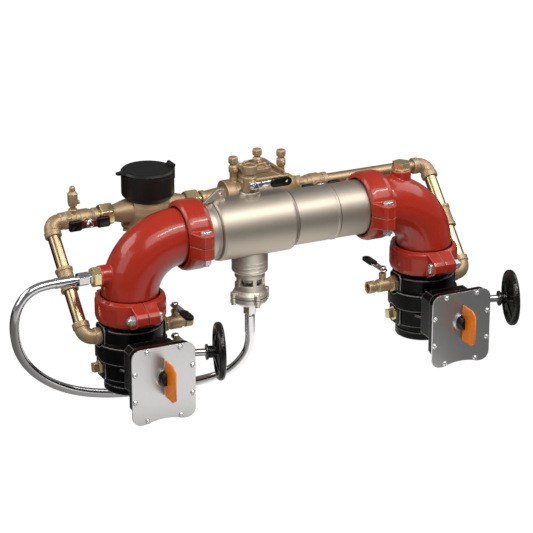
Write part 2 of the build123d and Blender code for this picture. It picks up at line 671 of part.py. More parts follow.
def check_guide(index):
    """Spider that guides the check's stem and backs its spring."""
    x, wall = CHECK_X[index] + CHECK_GUIDE_AT, check_bore(index) - FIT_GAP
    start = (x, 0, SPOOL_Z)
    guide = tube(start, RIGHT, CHECK_GUIDE_T, wall, wall - 5)
    for angle in (0, 60, 120):
        bar = block((x, -wall + 2, SPOOL_Z - 3), (x + CHECK_GUIDE_T, wall - 2, SPOOL_Z + 3))
        guide += bar.rotate(Axis((x, 0, SPOOL_Z), RIGHT), angle)
    guide += rod(along(start, LEFT, 4), RIGHT, CHECK_GUIDE_T + 4, CHECK_STEM_R + 4)
    return guide - rod(along(start, LEFT, 8), RIGHT, 20, CHECK_STEM_R + MOVE_GAP)


def check_disc(index):
    """Spring loaded check disc with its guide stem."""
    wall = check_bore(index) - FIT_GAP
    start = (CHECK_X[index] + CHECK_SEAT_T + MOVE_GAP, 0, SPOOL_Z)
    disc = rod(start, RIGHT, CHECK_DISC_T, wall - 11)
    disc = chamfer(disc.edges().filter_by(GeomType.CIRCLE).sort_by(Axis.X)[-1], 3)
    return disc + rod(start, RIGHT, CHECK_GUIDE_AT + CHECK_GUIDE_T - CHECK_SEAT_T, CHECK_STEM_R)


def check_spring(index):
    """Coil spring between a check disc and its guide."""
    start = CHECK_X[index] + CHECK_SEAT_T + MOVE_GAP + CHECK_DISC_T + CHECK_SPRING_WIRE + FIT_GAP
    end = CHECK_X[index] + CHECK_GUIDE_AT - CHECK_SPRING_WIRE - FIT_GAP
    return spring((start, 0, SPOOL_Z), RIGHT, end - start, 13, CHECK_SPRING_WIRE, 4)


def relief_collar():
    """Ridged collar that holds the relief valve on the spool's stub."""
    height = SPOOL_Z - 40 - COLLAR_Z
    collar = tube((PORT_X, 0, COLLAR_Z), UP, height, COLLAR_R, STUB_R + FIT_GAP)
    lower = collar.edges().filter_by(GeomType.CIRCLE).sort_by(Axis.Z)[:2].sort_by(SortBy.LENGTH)[-1]
    collar = chamfer(lower, 4)
    for i in range(COLLAR_RIDGES):
        z = COLLAR_Z + 8 + 8 * i
        collar -= tube((PORT_X, 0, z), UP, 1.6, COLLAR_R + 1, COLLAR_R - 1.2)
    return collar - spool_skin()


def ear_spots():
    """Centres of the relief valve's four ears in X and Y."""
    for quarter in range(4):
        angle = math.radians(90 * quarter)
        yield PORT_X + EAR_AT * math.cos(angle), EAR_AT * math.sin(angle)


def relief_body():
    """Relief valve body with its discharge windows and lower flange."""
    base = RELIEF_SPLIT_Z + DIAPHRAGM_T / 2
    outline = [(RELIEF_BORE, base), (RELIEF_FLANGE_R, base), (RELIEF_FLANGE_R, base + 6),
               (RELIEF_R, base + 15), (RELIEF_R, WINDOW_Z + WINDOW_H), (RELIEF_R - 1.5, WINDOW_Z + WINDOW_H + 2),
               (RELIEF_R - 1.5, COLLAR_Z), (STUB_R - 3, COLLAR_Z), (STUB_R - 3, COLLAR_Z - 3),
               (RELIEF_BORE, COLLAR_Z - 3)]
    body = turned(outline, (PORT_X, 0, 0), UP)
    for x, y in ear_spots():
        body += rod((x, y, base), UP, 11, EAR_R)
    body -= rod((PORT_X, 0, base - 1), UP, 14, RELIEF_BORE)
    low, high = SPIDER_Z, SPIDER_Z + SPIDER_T
    spider = block((PORT_X - RELIEF_BORE - 1, -4, low), (PORT_X + RELIEF_BORE + 1, 4, high))
    spider += block((PORT_X - 4, -RELIEF_BORE - 1, low), (PORT_X + 4, RELIEF_BORE + 1, high))
    spider += rod((PORT_X, 0, low), UP, SPIDER_T, 9)
    body += spider
    body -= rod((PORT_X, 0, low - 3), UP, SPIDER_T + 6, RELIEF_STEM_R + MOVE_GAP)
    for i in range(WINDOWS):
        wedge = polygon([(0, 0)] + [(60 * math.cos(math.radians(a)), 60 * math.sin(math.radians(a)))
                                    for a in (-WINDOW_ARC / 2, 0, WINDOW_ARC / 2)])
        cut = Pos(PORT_X, 0, WINDOW_Z - WINDOW_H / 2) * Rot(0, 0, WINDOW_START + 360 / WINDOWS * i) \
            * extrude(wedge, WINDOW_H)
        body -= cut - rod((PORT_X, 0, WINDOW_Z - WINDOW_H), UP, 2 * WINDOW_H, RELIEF_BORE - 2)
    for x, y in ear_spots():
        body -= rod((x, y, base - 1), UP, 9, 3 + FIT_GAP)
    return body


def relief_cover():
    """Lower cover that clamps the diaphragm and takes the sensing hose."""
    top = RELIEF_SPLIT_Z - DIAPHRAGM_T / 2
    outline = [(0, RELIEF_BOTTOM), (16, RELIEF_BOTTOM), (30, RELIEF_BOTTOM + 5), (RELIEF_FLANGE_R, top - 9),
               (RELIEF_FLANGE_R, top), (0, top)]
    cover = turned(outline, (PORT_X, 0, 0), UP)
    for x, y in ear_spots():
        cover += rod((x, y, top - EAR_H), UP, EAR_H, EAR_R)
        cover -= rod((x, y, top - EAR_H), DOWN, 8, 4.8 + 2 * FIT_GAP)
    cover -= rod((PORT_X, 0, RELIEF_BOTTOM + 10), UP, 20, 22)
    cover -= rod((PORT_X, 0, RELIEF_BOTTOM - 1), UP, 10, 7.6)
    for x, y in ear_spots():
        cover -= rod((x, y, top - 20), UP, 22, 3 + FIT_GAP)
    return cover


def relief_bolts():
    """Socket head screws through the ears."""
    top = RELIEF_SPLIT_Z - DIAPHRAGM_T / 2
    for x, y in ear_spots():
        head = rod((x, y, top - EAR_H), DOWN, 4, 4.8)
        head -= hexagon((x, y, top - EAR_H - 4.5), UP, 3, 5)
        yield head + rod((x, y, top - EAR_H), UP, EAR_H + DIAPHRAGM_T + 6, 3)


def relief_diaphragm():
    """Rubber diaphragm clamped between the body and its cover."""
    sheet = rod((PORT_X, 0, RELIEF_SPLIT_Z - DIAPHRAGM_T / 2), UP, DIAPHRAGM_T, RELIEF_FLANGE_R)
    for x, y in ear_spots():
        sheet -= rod((x, y, RELIEF_SPLIT_Z - DIAPHRAGM_T), UP, 2 * DIAPHRAGM_T, 3.4)
    return sheet - rod((PORT_X, 0, RELIEF_SPLIT_Z - DIAPHRAGM_T), UP, 2 * DIAPHRAGM_T, 21)


def relief_stem():
    """Relief disc, stem and diaphragm plate, which drop together to discharge."""
    top = STUB_Z - MOVE_GAP
    stem = rod((PORT_X, 0, top - 5), UP, 5, STUB_R - 4)
    stem += rod((PORT_X, 0, RELIEF_SPLIT_Z - 2), UP, top - RELIEF_SPLIT_Z, RELIEF_STEM_R)
    stem += rod((PORT_X, 0, WINDOW_Z - RELIEF_PISTON_T / 2), UP, RELIEF_PISTON_T, RELIEF_PISTON_R)
    return stem + rod((PORT_X, 0, RELIEF_SPLIT_Z - 2), UP, 4, 20)


def relief_spring():
    """Coil spring that opens the relief valve."""
    low, high = RELIEF_SPLIT_Z + 2, SPIDER_Z
    wire = 1.3
    return spring((PORT_X, 0, low + wire + FIT_GAP), UP, high - low - 2 * wire - 2 * FIT_GAP, 9, wire, 4)


def hose_fittings():
    """Swivel nuts and crimped ferrules at both ends of the sensing hose."""
    z = ELBOW_PORT_Z
    bush_face = -ELBOW_BOSS_REACH - 14
    ferrule_x = HOSE_START_X + FERRULE_L
    upper = hexagon((bush_face, 0, z), LEFT, 5, 22) + hexagon((bush_face - 9, 0, z), LEFT, 22, HOSE_HEX_AF)
    upper += rod((bush_face - 5, 0, z), LEFT, ferrule_x - bush_face + 5 if ferrule_x > bush_face
                 else bush_face - 5 - ferrule_x, 7.5)
    upper += rod((bush_face, 0, z), RIGHT, 10, 7.5)
    yield upper
    yield tube((ferrule_x, 0, z), LEFT, FERRULE_L, FERRULE_R, 6)
    top = RELIEF_BOTTOM
    ferrule_top = HOSE_END_Z + FERRULE_L - 3
    lower = hexagon((PORT_X, 0, top), DOWN, 18, HOSE_HEX_AF) + rod((PORT_X, 0, top), UP, 6, 7.5)
    lower += rod((PORT_X, 0, top - 18), DOWN, top - 18 - ferrule_top, 7.5)
    yield lower
    yield tube((PORT_X, 0, ferrule_top), DOWN, ferrule_top - HOSE_END_Z, FERRULE_R, 6)


# Route of the sensing hose, from its ferrule at the inlet elbow to the one under the relief valve
HOSE_ROUTE = [
    (HOSE_START_X, 0, ELBOW_PORT_Z),
    (-189, 0, ELBOW_PORT_Z),
    (-218, 0, 238),
    (-238, 1, 216),
    (-247, 5, 186),
    (-246, 12, 152),
    (-236, 23, 110),
    (-212, 38, 66),
    (-170, 54, 21),
    (-115, 70, -16),
    (-52, 83, -42),
    (16, 89, -57),
    (84, 86, -59),
    (146, 72, -53),
    (193, 50, -42),
    (228, 27, -24),
    (251, 11, 3),
    (PORT_X, 0, 38),
    (PORT_X, 0, HOSE_END_Z),
]


def sensing_hose():
    """Hose of straight runs joined by the largest arcs that the runs allow."""
    points = [Vector(*p) for p in HOSE_ROUTE]
    radii = []
    for before, here, after in zip(points, points[1:], points[2:]):
        incoming, outgoing = here - before, after - here
        half_turn = math.radians(incoming.get_angle(outgoing)) / 2
        radii.append(0.45 * min(incoming.length, outgoing.length) / math.tan(half_turn))
    path = FilletPolyline(*points, radius=radii)
    hose = sweep(Plane(path @ 0, z_dir=path % 0) * Circle(HOSE_R), path=path)
    print("hose radii", [round(r) for r in radii], "length", round(path.length))
    print("hose volume", round(hose.volume), "section by length", round(math.pi * HOSE_R ** 2 * path.length))
    return hose


def valve_port(x0, side, z):
    """Centre of a valve's side port face."""
    return along((x0, 0, z), side, PORT_REACH)


def bushing(face, out, across_flats, length, hole, spigot):
    """Hexagon bushing screwed into a port."""
    inward = tuple(-c for c in out)
    bush = hexagon(face, out, length, across_flats) + rod(face, inward, PORT_DEPTH - 1, spigot)
    return bush - rod(along(face, out, length + 1), inward, length + PORT_DEPTH + 2, hole)


def square_plug(face, out, side, length, spigot):
    """Square head pipe plug."""
    inward = tuple(-c for c in out)
    plug = Plane(face, z_dir=out) * extrude(Rot(0, 0, 12) * RectangleRounded(side, side, 1.5), length)
    return plug + rod(face, inward, 12, spigot)


def bushings_and_plugs():
    """Brass bushings, hexagon nipples and plugs of the valve and elbow ports."""
    for x0, side in ((0, LEFT), (VALVE_SPACING, LEFT), (VALVE_SPACING, RIGHT)):
        face = valve_port(x0, side, PORT_Z_LOW)
        yield bushing(face, side, 28, 4, 9.1, TUBE_R)
        yield square_plug(along(face, side, 4), side, 18, 13, 9)
    for x0, side, z in COCK_PORTS:
        face = valve_port(x0, side, z)
        yield bushing(face, side, COCK_NIPPLE_AF, COCK_NIPPLE_L, COCK_SPIGOT_R + FIT_GAP, TUBE_R)
    yield bushing((-ELBOW_BOSS_REACH, 0, ELBOW_PORT_Z), LEFT, 37, 14, 7.6, ELBOW_PORT_R)
    top = (VALVE_SPACING - ELBOW_BOSS_AT, 0, SPOOL_Z + ELBOW_BOSS_REACH)
    yield rod(top, UP, 3, ELBOW_BOSS_R - 1.5) + hexagon(along(top, UP, 3), UP, 13, 33, 12) \
        + rod(top, DOWN, PORT_DEPTH, ELBOW_PORT_R)


COCK_PORTS = [(0, RIGHT, PORT_Z_HIGH), (0, RIGHT, PORT_Z_LOW), (VALVE_SPACING, LEFT, PORT_Z_HIGH)]


def cock_body(face, flow, stem, stem_at, length, lever_at):
    """Bronze ball valve body with an open threaded outlet."""
    centre = along(face, flow, stem_at)
    inward = tuple(-c for c in flow)
    body = rod(face, flow, length, COCK_BODY_R - 1) + hexagon(face, flow, min(9, stem_at - 9), 25)
    body += rod(along(centre, flow, -12), flow, 24, COCK_BODY_R + 1.5)
    body += hexagon(along(face, flow, length - 16), flow, 8, 25.5)
    body += rod(along(face, flow, length - 8), flow, 8, COCK_END_R)
    body += rod(face, inward, 10, COCK_SPIGOT_R)
    body += rod(centre, stem, lever_at - 6, 7.5)
    body += hexagon(along(centre, stem, lever_at - 12), stem, 5, 16)
    body -= rod(along(face, inward, 11), flow, length + 12, COCK_BORE)
    body -= rod(along(face, flow, length - COCK_THREAD_L), flow, COCK_THREAD_L + 1, COCK_THREAD_R)
    body -= Pos(*centre) * Sphere(COCK_BALL_R + MOVE_GAP)
    return body - rod(centre, stem, lever_at, 3.5 + MOVE_GAP)


def cock_lever(face, flow, stem, stem_at, lever_at, lever_dir):
    """Ball, stem, lever and grip of a test cock, closed."""
    centre = along(face, flow, stem_at)
    ball = Pos(*centre) * Sphere(COCK_BALL_R) - rod(along(centre, lever_dir, -12), lever_dir, 24, COCK_BORE)
    stem_rod = rod(along(centre, stem, 3), stem, lever_at + 3, 3.5)
    seat = Plane(along(centre, stem, lever_at), x_dir=lever_dir, z_dir=stem)
    blade_face = Pos(LEVER_L / 2 - 9, 0) * SlotOverall(LEVER_L + 6, LEVER_W)
    blade = seat * extrude(blade_face, LEVER_T)
    grip_face = Pos(LEVER_L - 6 - GRIP_L / 2, 0) * SlotOverall(GRIP_L + 4, LEVER_W + 3)
    grip = seat * Pos(0, 0, (LEVER_T - GRIP_T) / 2) * extrude(grip_face, GRIP_T)
    hole = seat * Pos(LEVER_L - 14, 0, -GRIP_T) * Cylinder(LEVER_HOLE_R, 3 * GRIP_T, align=BOTTOM)
    nut = hexagon(along(centre, stem, lever_at + LEVER_T), stem, 5, 13)
    return (ball + stem_rod + blade + grip + nut) - hole


def small_elbow(corner, first, second):
    """Three quarter inch screwed elbow with beaded sockets."""
    ends = [along(corner, leg, SMALL_ELBOW_REACH) for leg in (first, second)]
    path = FilletPolyline(ends[0], corner, ends[1], radius=SMALL_ELBOW_BEND)
    start = Plane(path @ 0, z_dir=path % 0)
    elbow = sweep(start * Circle(SMALL_ELBOW_R), path=path)
    for end, leg in zip(ends, (first, second)):
        inward = tuple(-c for c in leg)
        elbow += rod(end, inward, SOCKET_BEAD, SOCKET_R)
    elbow -= sweep(start * Circle(TUBE_BORE), path=path)
    for end, leg in zip(ends, (first, second)):
        inward = tuple(-c for c in leg)
        elbow -= rod(end, inward, SOCKET_DEPTH, TUBE_R + FIT_GAP)
    return elbow


SLANT = math.dist((0, PORT_Z_HIGH), (BYPASS_Y, BYPASS_Z))
SLANT_UP = (0, BYPASS_Y / SLANT, (BYPASS_Z - PORT_Z_HIGH) / SLANT)
SLANT_DOWN = tuple(-c for c in SLANT_UP)
IN_LOW = (-BYPASS_OUT, 0, PORT_Z_HIGH)
IN_HIGH = (-BYPASS_OUT, BYPASS_Y, BYPASS_Z)
OUT_LOW = (VALVE_SPACING + BYPASS_OUT, 0, PORT_Z_HIGH)
OUT_HIGH = (VALVE_SPACING + BYPASS_OUT, BYPASS_Y, BYPASS_Z)
VALVE1_X = -BYPASS_OUT + SMALL_ELBOW_REACH


def on_bypass(x):
    """Point on the bypass line."""
    return (x, BYPASS_Y, BYPASS_Z)


def bypass_pipes():
    """Brass pipe lengths and close nipples of the bypass."""
    socket = SMALL_ELBOW_REACH - SOCKET_DEPTH + FIT_GAP
    half = SLANT / 2
    for low in (IN_LOW, OUT_LOW):
        yield tube(along(low, SLANT_UP, socket), SLANT_UP, half - socket - 2, TUBE_R, TUBE_BORE)
        yield tube(along(low, SLANT_UP, half + 2), SLANT_UP, half - socket - 2, TUBE_R, TUBE_BORE)
    for low, side in ((IN_LOW, RIGHT), (OUT_LOW, LEFT)):
        reach = BYPASS_OUT - PORT_REACH + PORT_DEPTH - FIT_GAP
        yield tube(along(low, side, socket), side, reach - socket, TUBE_R, TUBE_BORE)
    yield tube(on_bypass(VALVE1_X - SOCKET_DEPTH + FIT_GAP), RIGHT, 2 * SOCKET_DEPTH - 2 * FIT_GAP,
               TUBE_R, TUBE_BORE)
    tail1 = VALVE1_X + BALL_VALVE_L - SOCKET_DEPTH + FIT_GAP
    meter_in = METER_X - METER_HALF - 17
    yield tube(on_bypass(tail1), RIGHT, meter_in - tail1, TUBE_R, TUBE_BORE) \
        + tube(on_bypass(meter_in - 4), RIGHT, 4, SPUD_R, TUBE_BORE)
    meter_out = METER_X + METER_HALF + 17
    tail2 = ADAPTER_X + SOCKET_DEPTH - FIT_GAP
    yield tube(on_bypass(meter_out), RIGHT, tail2 - meter_out, TUBE_R, TUBE_BORE) \
        + tube(on_bypass(meter_out), RIGHT, 4, SPUD_R, TUBE_BORE)
    yield tube(on_bypass(VALVE2_X - SOCKET_DEPTH + FIT_GAP), RIGHT, 2 * SOCKET_DEPTH - 2 * FIT_GAP,
               TUBE_R, TUBE_BORE)
    long_start = VALVE2_X + BALL_VALVE_L - SOCKET_DEPTH + FIT_GAP
    long_end = VALVE_SPACING + BYPASS_OUT - socket
    yield tube(on_bypass(long_start), RIGHT, long_end - long_start, TUBE_R, TUBE_BORE)


def union_nut(x, out):
    """Hexagon union nut around a tail piece, open towards the meter."""
    start = on_bypass(x)
    nut = hexagon(start, out, UNION_L, UNION_AF)
    nut &= turned([(0, 0), (UNION_AF / 2, 0), (UNION_AF / 2 + 3.6, 3), (UNION_AF / 2 + 3.6, UNION_L - 3),
                   (UNION_AF / 2, UNION_L), (0, UNION_L)], start, out)
    nut -= rod(start, out, UNION_L, TUBE_R + FIT_GAP)
    return nut - rod(along(start, out, 8), out, UNION_L, SPUD_R + FIT_GAP)


def bypass_fittings():
    """Couplings of the slanted pipes, union nuts of the meter and the adapter."""
    half = SLANT / 2 - MID_COUPLING_L / 2
    for low in (IN_LOW, OUT_LOW):
        start = along(low, SLANT_UP, half)
        sleeve = rod(start, SLANT_UP, MID_COUPLING_L, SOCKET_R - 1)
        for at in (0, MID_COUPLING_L - 7):
            sleeve += rod(along(start, SLANT_UP, at), SLANT_UP, 7, SOCKET_R + 0.8)
        yield sleeve - rod(start, SLANT_UP, MID_COUPLING_L, TUBE_R + FIT_GAP)
    meter_in = METER_X - METER_HALF - 17
    meter_out = METER_X + METER_HALF + 17
    yield union_nut(meter_in - 12 - FIT_GAP, RIGHT)
    yield union_nut(meter_out + 12 + FIT_GAP, LEFT)
    adapter = rod(on_bypass(ADAPTER_X), RIGHT, 9, SOCKET_R + 1)
    adapter += taper(on_bypass(ADAPTER_X + 9), RIGHT, PREVENTER_X - ADAPTER_X - 9, SOCKET_R - 1, SOCKET_R + 2.5)
    adapter -= rod(on_bypass(ADAPTER_X), RIGHT, SOCKET_DEPTH, TUBE_R + FIT_GAP)
    yield adapter - rod(on_bypass(ADAPTER_X), RIGHT, PREVENTER_X - ADAPTER_X, TUBE_BORE)


def ball_valve_body(x, branch):
    """Bronze ball valve of the bypass, with its stem to the front."""
    centre = on_bypass(x + BALL_VALVE_STEM)
    body = rod(on_bypass(x), RIGHT, BALL_VALVE_L, SMALL_ELBOW_R)
    body += hexagon(on_bypass(x), RIGHT, 10, 35)
    body += rod(on_bypass(x + BALL_VALVE_STEM - 17), RIGHT, 34, BALL_VALVE_R - 1.5)
    body += rod(on_bypass(x + BALL_VALVE_STEM - 8), RIGHT, 20, BALL_VALVE_R)
    body += rod(on_bypass(x + BALL_VALVE_L - 10), RIGHT, 10, SOCKET_R)
    body += rod(centre, FRONT, BALL_VALVE_R + 5, 8)
    body += hexagon(along(centre, FRONT, BALL_VALVE_R + 2), FRONT, 6, 18)
    if branch:
        body += rod(on_bypass(x + BRANCH_COCK_AT), UP, 23, 9.5)
    body -= rod(on_bypass(x), RIGHT, BALL_VALVE_L, TUBE_BORE)
    body -= rod(on_bypass(x), RIGHT, SOCKET_DEPTH, TUBE_R + FIT_GAP)
    body -= rod(on_bypass(x + BALL_VALVE_L), LEFT, SOCKET_DEPTH, TUBE_R + FIT_GAP)
    body -= Pos(*centre) * Sphere(BALL_R + MOVE_GAP)
    if branch:
        body -= rod(on_bypass(x + BRANCH_COCK_AT), UP, 30, 3)
        body -= rod(along(on_bypass(x + BRANCH_COCK_AT), UP, 16), UP, 8, 6 + FIT_GAP)
    return body - rod(centre, FRONT, BALL_VALVE_R + 20, 4 + MOVE_GAP)


def tee_handle(x):
    """Ball, stem and T shaped handle of a bypass valve, open along the pipe."""
    centre = on_bypass(x + BALL_VALVE_STEM)
    ball = Pos(*centre) * Sphere(BALL_R) - rod(along(centre, LEFT, 20), RIGHT, 40, TUBE_BORE)
    stem = rod(along(centre, FRONT, BALL_R - 4), FRONT, T_HANDLE_AT - BALL_R + 8, 4)
    seat = Plane(along(centre, FRONT, T_HANDLE_AT), x_dir=RIGHT, z_dir=FRONT)
    plate = seat * extrude(RectangleRounded(2 * T_HANDLE_REACH - 20, 17, 3), 3)
    handle = ball + stem + plate + hexagon(along(centre, FRONT, T_HANDLE_AT + 3), FRONT, 5, 13)
    for side in (-1, 1):
        middle = side * (T_HANDLE_REACH - T_GRIP_L / 2)
        grip = Pos(middle, 0, 1.5) * Box(T_GRIP_L, T_GRIP_H, T_GRIP_T)
        grip = fillet(grip.edges(), 4.5)
        handle += seat * grip
    return handle


def small_cock(foot, height):
    """Small capped test cock that stands on a boss."""
    z = height
    base = rod(foot, DOWN, 6, 6) + hexagon(foot, UP, 6, 16)
    base += turned([(0, 6), (7.6, 6), (7.6, z - 35), (9.8, z - 33), (9.8, z - 21), (7, z - 18), (7, z - 14),
                    (0, z - 14)], foot, UP)
    base += rod(along(foot, UP, z - 27), FRONT, 13, 4.2)
    cap = hexagon(along(foot, UP, z - 14), UP, 14, 19.5)
    cap &= turned([(0, 0), (9, 0), (10.8, 2.5), (10.8, 11), (8.5, 14), (0, 14)], along(foot, UP, z - 14), UP)
    return [base, cap]


def bypass_test_cocks():
    """Test cocks of the first ball valve and of the small backflow preventer."""
    branch = along(on_bypass(VALVE1_X + BRANCH_COCK_AT), UP, 23)
    body = rod(branch, DOWN, 6, 6) + rod(branch, UP, 6, 6)
    body += taper(along(branch, UP, 6), UP, 9, 8.5, 10.6) + rod(along(branch, UP, 15), UP, 18, 10.6)
    body += rod(along(branch, UP, 13), RIGHT, 15, 4.5) + taper(along(branch, UP, 33), UP, 4, 10.6, 7)
    nipple = turned([(0, 0), (6.2, 0), (6.2, 8), (4.5, 12), (0, 12)], along(branch, UP, 37), UP)
    yield body
    yield nipple
    for x, foot_z, height in zip(SMALL_COCK_X, PREVENTER_FEET, (52, 42, 52)):
        yield from small_cock((x, BYPASS_Y, foot_z), height)


PREVENTER_FEET = (340.0, PREVENTER_TOP - 6.0, 340.0)


def meter_body():
    """Bronze water meter case with its conical necks and lower flange."""
    case = turned([(0, METER_BASE_Z), (METER_FLANGE_R, METER_BASE_Z), (METER_FLANGE_R, METER_BASE_Z + 7),
                   (METER_CASE_R, METER_BASE_Z + 10), (METER_CASE_R, 306), (METER_CASE_R - 3, 320),
                   (METER_CASE_R - 7, METER_CASE_TOP), (0, METER_CASE_TOP)], (METER_X, BYPASS_Y, 0), UP)
    for side in (LEFT, RIGHT):
        case += rod(on_bypass(METER_X), side, METER_HALF + 17, SPUD_R)
        case += taper(along(on_bypass(METER_X), side, METER_HALF - 40), side, 40, 28, SPUD_R + 1.5)
    case -= rod((METER_X, BYPASS_Y, METER_CASE_TOP), UP, 30, REGISTER_R + 2)
    case -= rod((METER_X, BYPASS_Y, METER_BASE_Z + 6), UP, METER_CASE_TOP - METER_BASE_Z - 12, METER_CASE_R - 12)
    return case - rod(on_bypass(METER_X - METER_HALF - 18), RIGHT, 2 * METER_HALF + 36, TUBE_BORE)


def meter_bolts():
    """Bolts of the meter's lower flange."""
    for i in range(METER_BOLTS):
        angle = math.radians(360 * i / METER_BOLTS)
        spot = (METER_X + 52 * math.cos(angle), BYPASS_Y + 52 * math.sin(angle), METER_BASE_Z)
        yield hexagon(spot, DOWN, 6, 10)


def meter_register():
    """Sealed register head with its hinge ears."""
    head = turned([(0, METER_CASE_TOP), (43, METER_CASE_TOP), (47, METER_CASE_TOP + 1), (REGISTER_R - 1, 340),
                   (REGISTER_R, 343), (REGISTER_R, REGISTER_TOP), (REGISTER_R - 3, REGISTER_TOP),
                   (REGISTER_R - 3, REGISTER_TOP - 12), (0, REGISTER_TOP - 12)], (METER_X, BYPASS_Y, 0), UP)
    for side in (-1, 1):
        near, far = sorted((BYPASS_Y + side * 5.4, BYPASS_Y + side * HINGE_HALF))
        ear = block((METER_X + REGISTER_R - 8, near, REGISTER_TOP - 14), (HINGE_X + 3, far, HINGE_Z))
        ear += rod((HINGE_X, near, HINGE_Z), BACK, far - near, HINGE_R)
        head += ear
    head += rod((HINGE_X, BYPASS_Y - HINGE_HALF, HINGE_Z), BACK, 2 * HINGE_HALF, HINGE_PIN_R)
    return head


def register_lid():
    """Hinged lid with its thumb lip."""
    low = REGISTER_TOP + MOVE_GAP
    lid = turned([(0, low), (REGISTER_R + 0.5, low), (REGISTER_R + 0.5, LID_TOP - 4),
                  (REGISTER_R - 3, LID_TOP - 0.5), (REGISTER_R - 8, LID_TOP), (0, LID_TOP)],
                 (METER_X, BYPASS_Y, 0), UP)
    left = METER_X - REGISTER_R
    lip = polygon([(left - LID_LIP, -5), (left + 6, -13), (left + 6, 13), (left - LID_LIP, 5)])
    lid += Pos(0, BYPASS_Y, LID_TOP - 5) * extrude(lip, 4)
    for side in (-1, 1):
        near, far = sorted((BYPASS_Y + side * 5, BYPASS_Y + side * (HINGE_HALF + 2)))
        lid -= block((METER_X + REGISTER_R - 9, near, low - 1), (HINGE_X + 9, far, LID_TOP + 9))
    tongue = block((METER_X + REGISTER_R - 12, BYPASS_Y - 5, low), (HINGE_X, BYPASS_Y + 5, HINGE_Z + 2))
    tongue += rod((HINGE_X, BYPASS_Y - 5, HINGE_Z), BACK, 10, HINGE_R)
    lid += tongue
    return lid - rod((HINGE_X, BYPASS_Y - 20, HINGE_Z), BACK, 40, HINGE_PIN_R + 0.08)


def preventer_body():
    """Bronze body of the small reduced pressure backflow preventer."""
    length = PREVENTER_END - PREVENTER_X
    middle = SMALL_COCK_X[1]
    barrel = turned([(12, 0), (19, 0), (19, 4), (PREVENTER_R + 3, 4), (PREVENTER_R + 3, 24), (PREVENTER_R, 24),
                     (PREVENTER_R, length - 26), (PREVENTER_R - 3, length - 16), (PREVENTER_R - 8, length - 9),
                     (19.5, length - 6), (19.5, length), (12, length)], on_bypass(PREVENTER_X), RIGHT)
    top = PREVENTER_TOP - PREVENTER_COVER_T
    outline = [(middle - 48, BYPASS_Z), (middle - 48, top - 6), (middle - 42, top), (middle + 22, top),
               (middle + 54, top - 18), (middle + 54, BYPASS_Z)]
    body = barrel + Pos(0, BYPASS_Y - 27, 0) * in_xz(polygon(outline), 0, 54)
    body += rod((middle, BYPASS_Y, BYPASS_Z - 60), UP, 50, 24)
    body += rod((middle, BYPASS_Y, BYPASS_Z - 46), UP, 8, 30)
    for x, foot in zip(SMALL_COCK_X[::2], PREVENTER_FEET[::2]):
        body += rod((x, BYPASS_Y, BYPASS_Z + 20), UP, foot - BYPASS_Z - 20, 9)
        body -= rod((x, BYPASS_Y, foot - 6), UP, 7, 6 + FIT_GAP) + rod((x, BYPASS_Y, foot), UP, 40, 10)
    hollow = turned([(0, -1), (12, -1), (12, 26), (22, 30), (22, length - 38), (12, length - 34),
                     (12, length - SOCKET_DEPTH), (TUBE_R + FIT_GAP, length - SOCKET_DEPTH),
                     (TUBE_R + FIT_GAP, length + 1), (0, length + 1)], on_bypass(PREVENTER_X), RIGHT)
    body -= rod((middle, BYPASS_Y, top - 5), UP, 8, 6 + FIT_GAP)
    return body - hollow - rod((middle, BYPASS_Y, BYPASS_Z - 61), UP, 60, 15)


def preventer_cover():
    """Ribbed cover of the small backflow preventer, with its bolts."""
    top = PREVENTER_TOP - PREVENTER_COVER_T
    middle = SMALL_COCK_X[1]
    cover = block((middle - 44, BYPASS_Y - 29, top), (middle + 22, BYPASS_Y + 29, PREVENTER_TOP))
    cover = fillet(cover.edges().filter_by(Axis.Z), 8)
    for dy in (-16, 16):
        rib = in_xz(polygon([(middle - 40, PREVENTER_TOP), (middle - 20, PREVENTER_TOP + 7),
                             (middle + 8, PREVENTER_TOP + 9), (middle + 20, PREVENTER_TOP)]), 0, 4)
        cover += Pos(0, BYPASS_Y + dy - 2, 0) * rib
    cover -= rod((middle, BYPASS_Y, PREVENTER_TOP - 6), UP, 20, 10)
    cover -= rod((middle, BYPASS_Y, top - 1), UP, 12, 6 + FIT_GAP)
    yield cover
    for x in (middle - 36, middle + 14):
        for dy in (-23, 23):
            yield hexagon((x, BYPASS_Y + dy, PREVENTER_TOP), UP, 5, 10)


nodes["inlet_valve_body"] = [butterfly_body(0)]
nodes["outlet_valve_body"] = [butterfly_body(VALVE_SPACING)]
nodes["valve_seat_liners"] = [seat_liner(0), seat_liner(VALVE_SPACING)]
for name, x0 in (("inlet", 0), ("outlet", VALVE_SPACING)):
    nodes[f"{name}_valve_disc"] = butterfly_disc(x0)
    nodes[f"{name}_gear_housing"] = [gear_housing(x0)]
    nodes[f"{name}_cover_plate"] = [cover_plate(x0)]
    nodes[f"{name}_worm_shaft"] = [worm_shaft(x0)]
    nodes[f"{name}_handwheel"] = [handwheel(x0)]
    nodes[f"{name}_position_flag"] = position_flag(x0)
nodes["cover_screws"] = [*cover_screws(0), *cover_screws(VALVE_SPACING)]
nodes["housing_bolts"] = [*housing_bolts(0), *housing_bolts(VALVE_SPACING)]
nodes["indicator_rings"] = [tube((x0, -PLATE_Y, STEM_Z), FRONT, RING_T, RING_R, KNOB_R + MOVE_GAP)
                            for x0 in (0, VALVE_SPACING)]

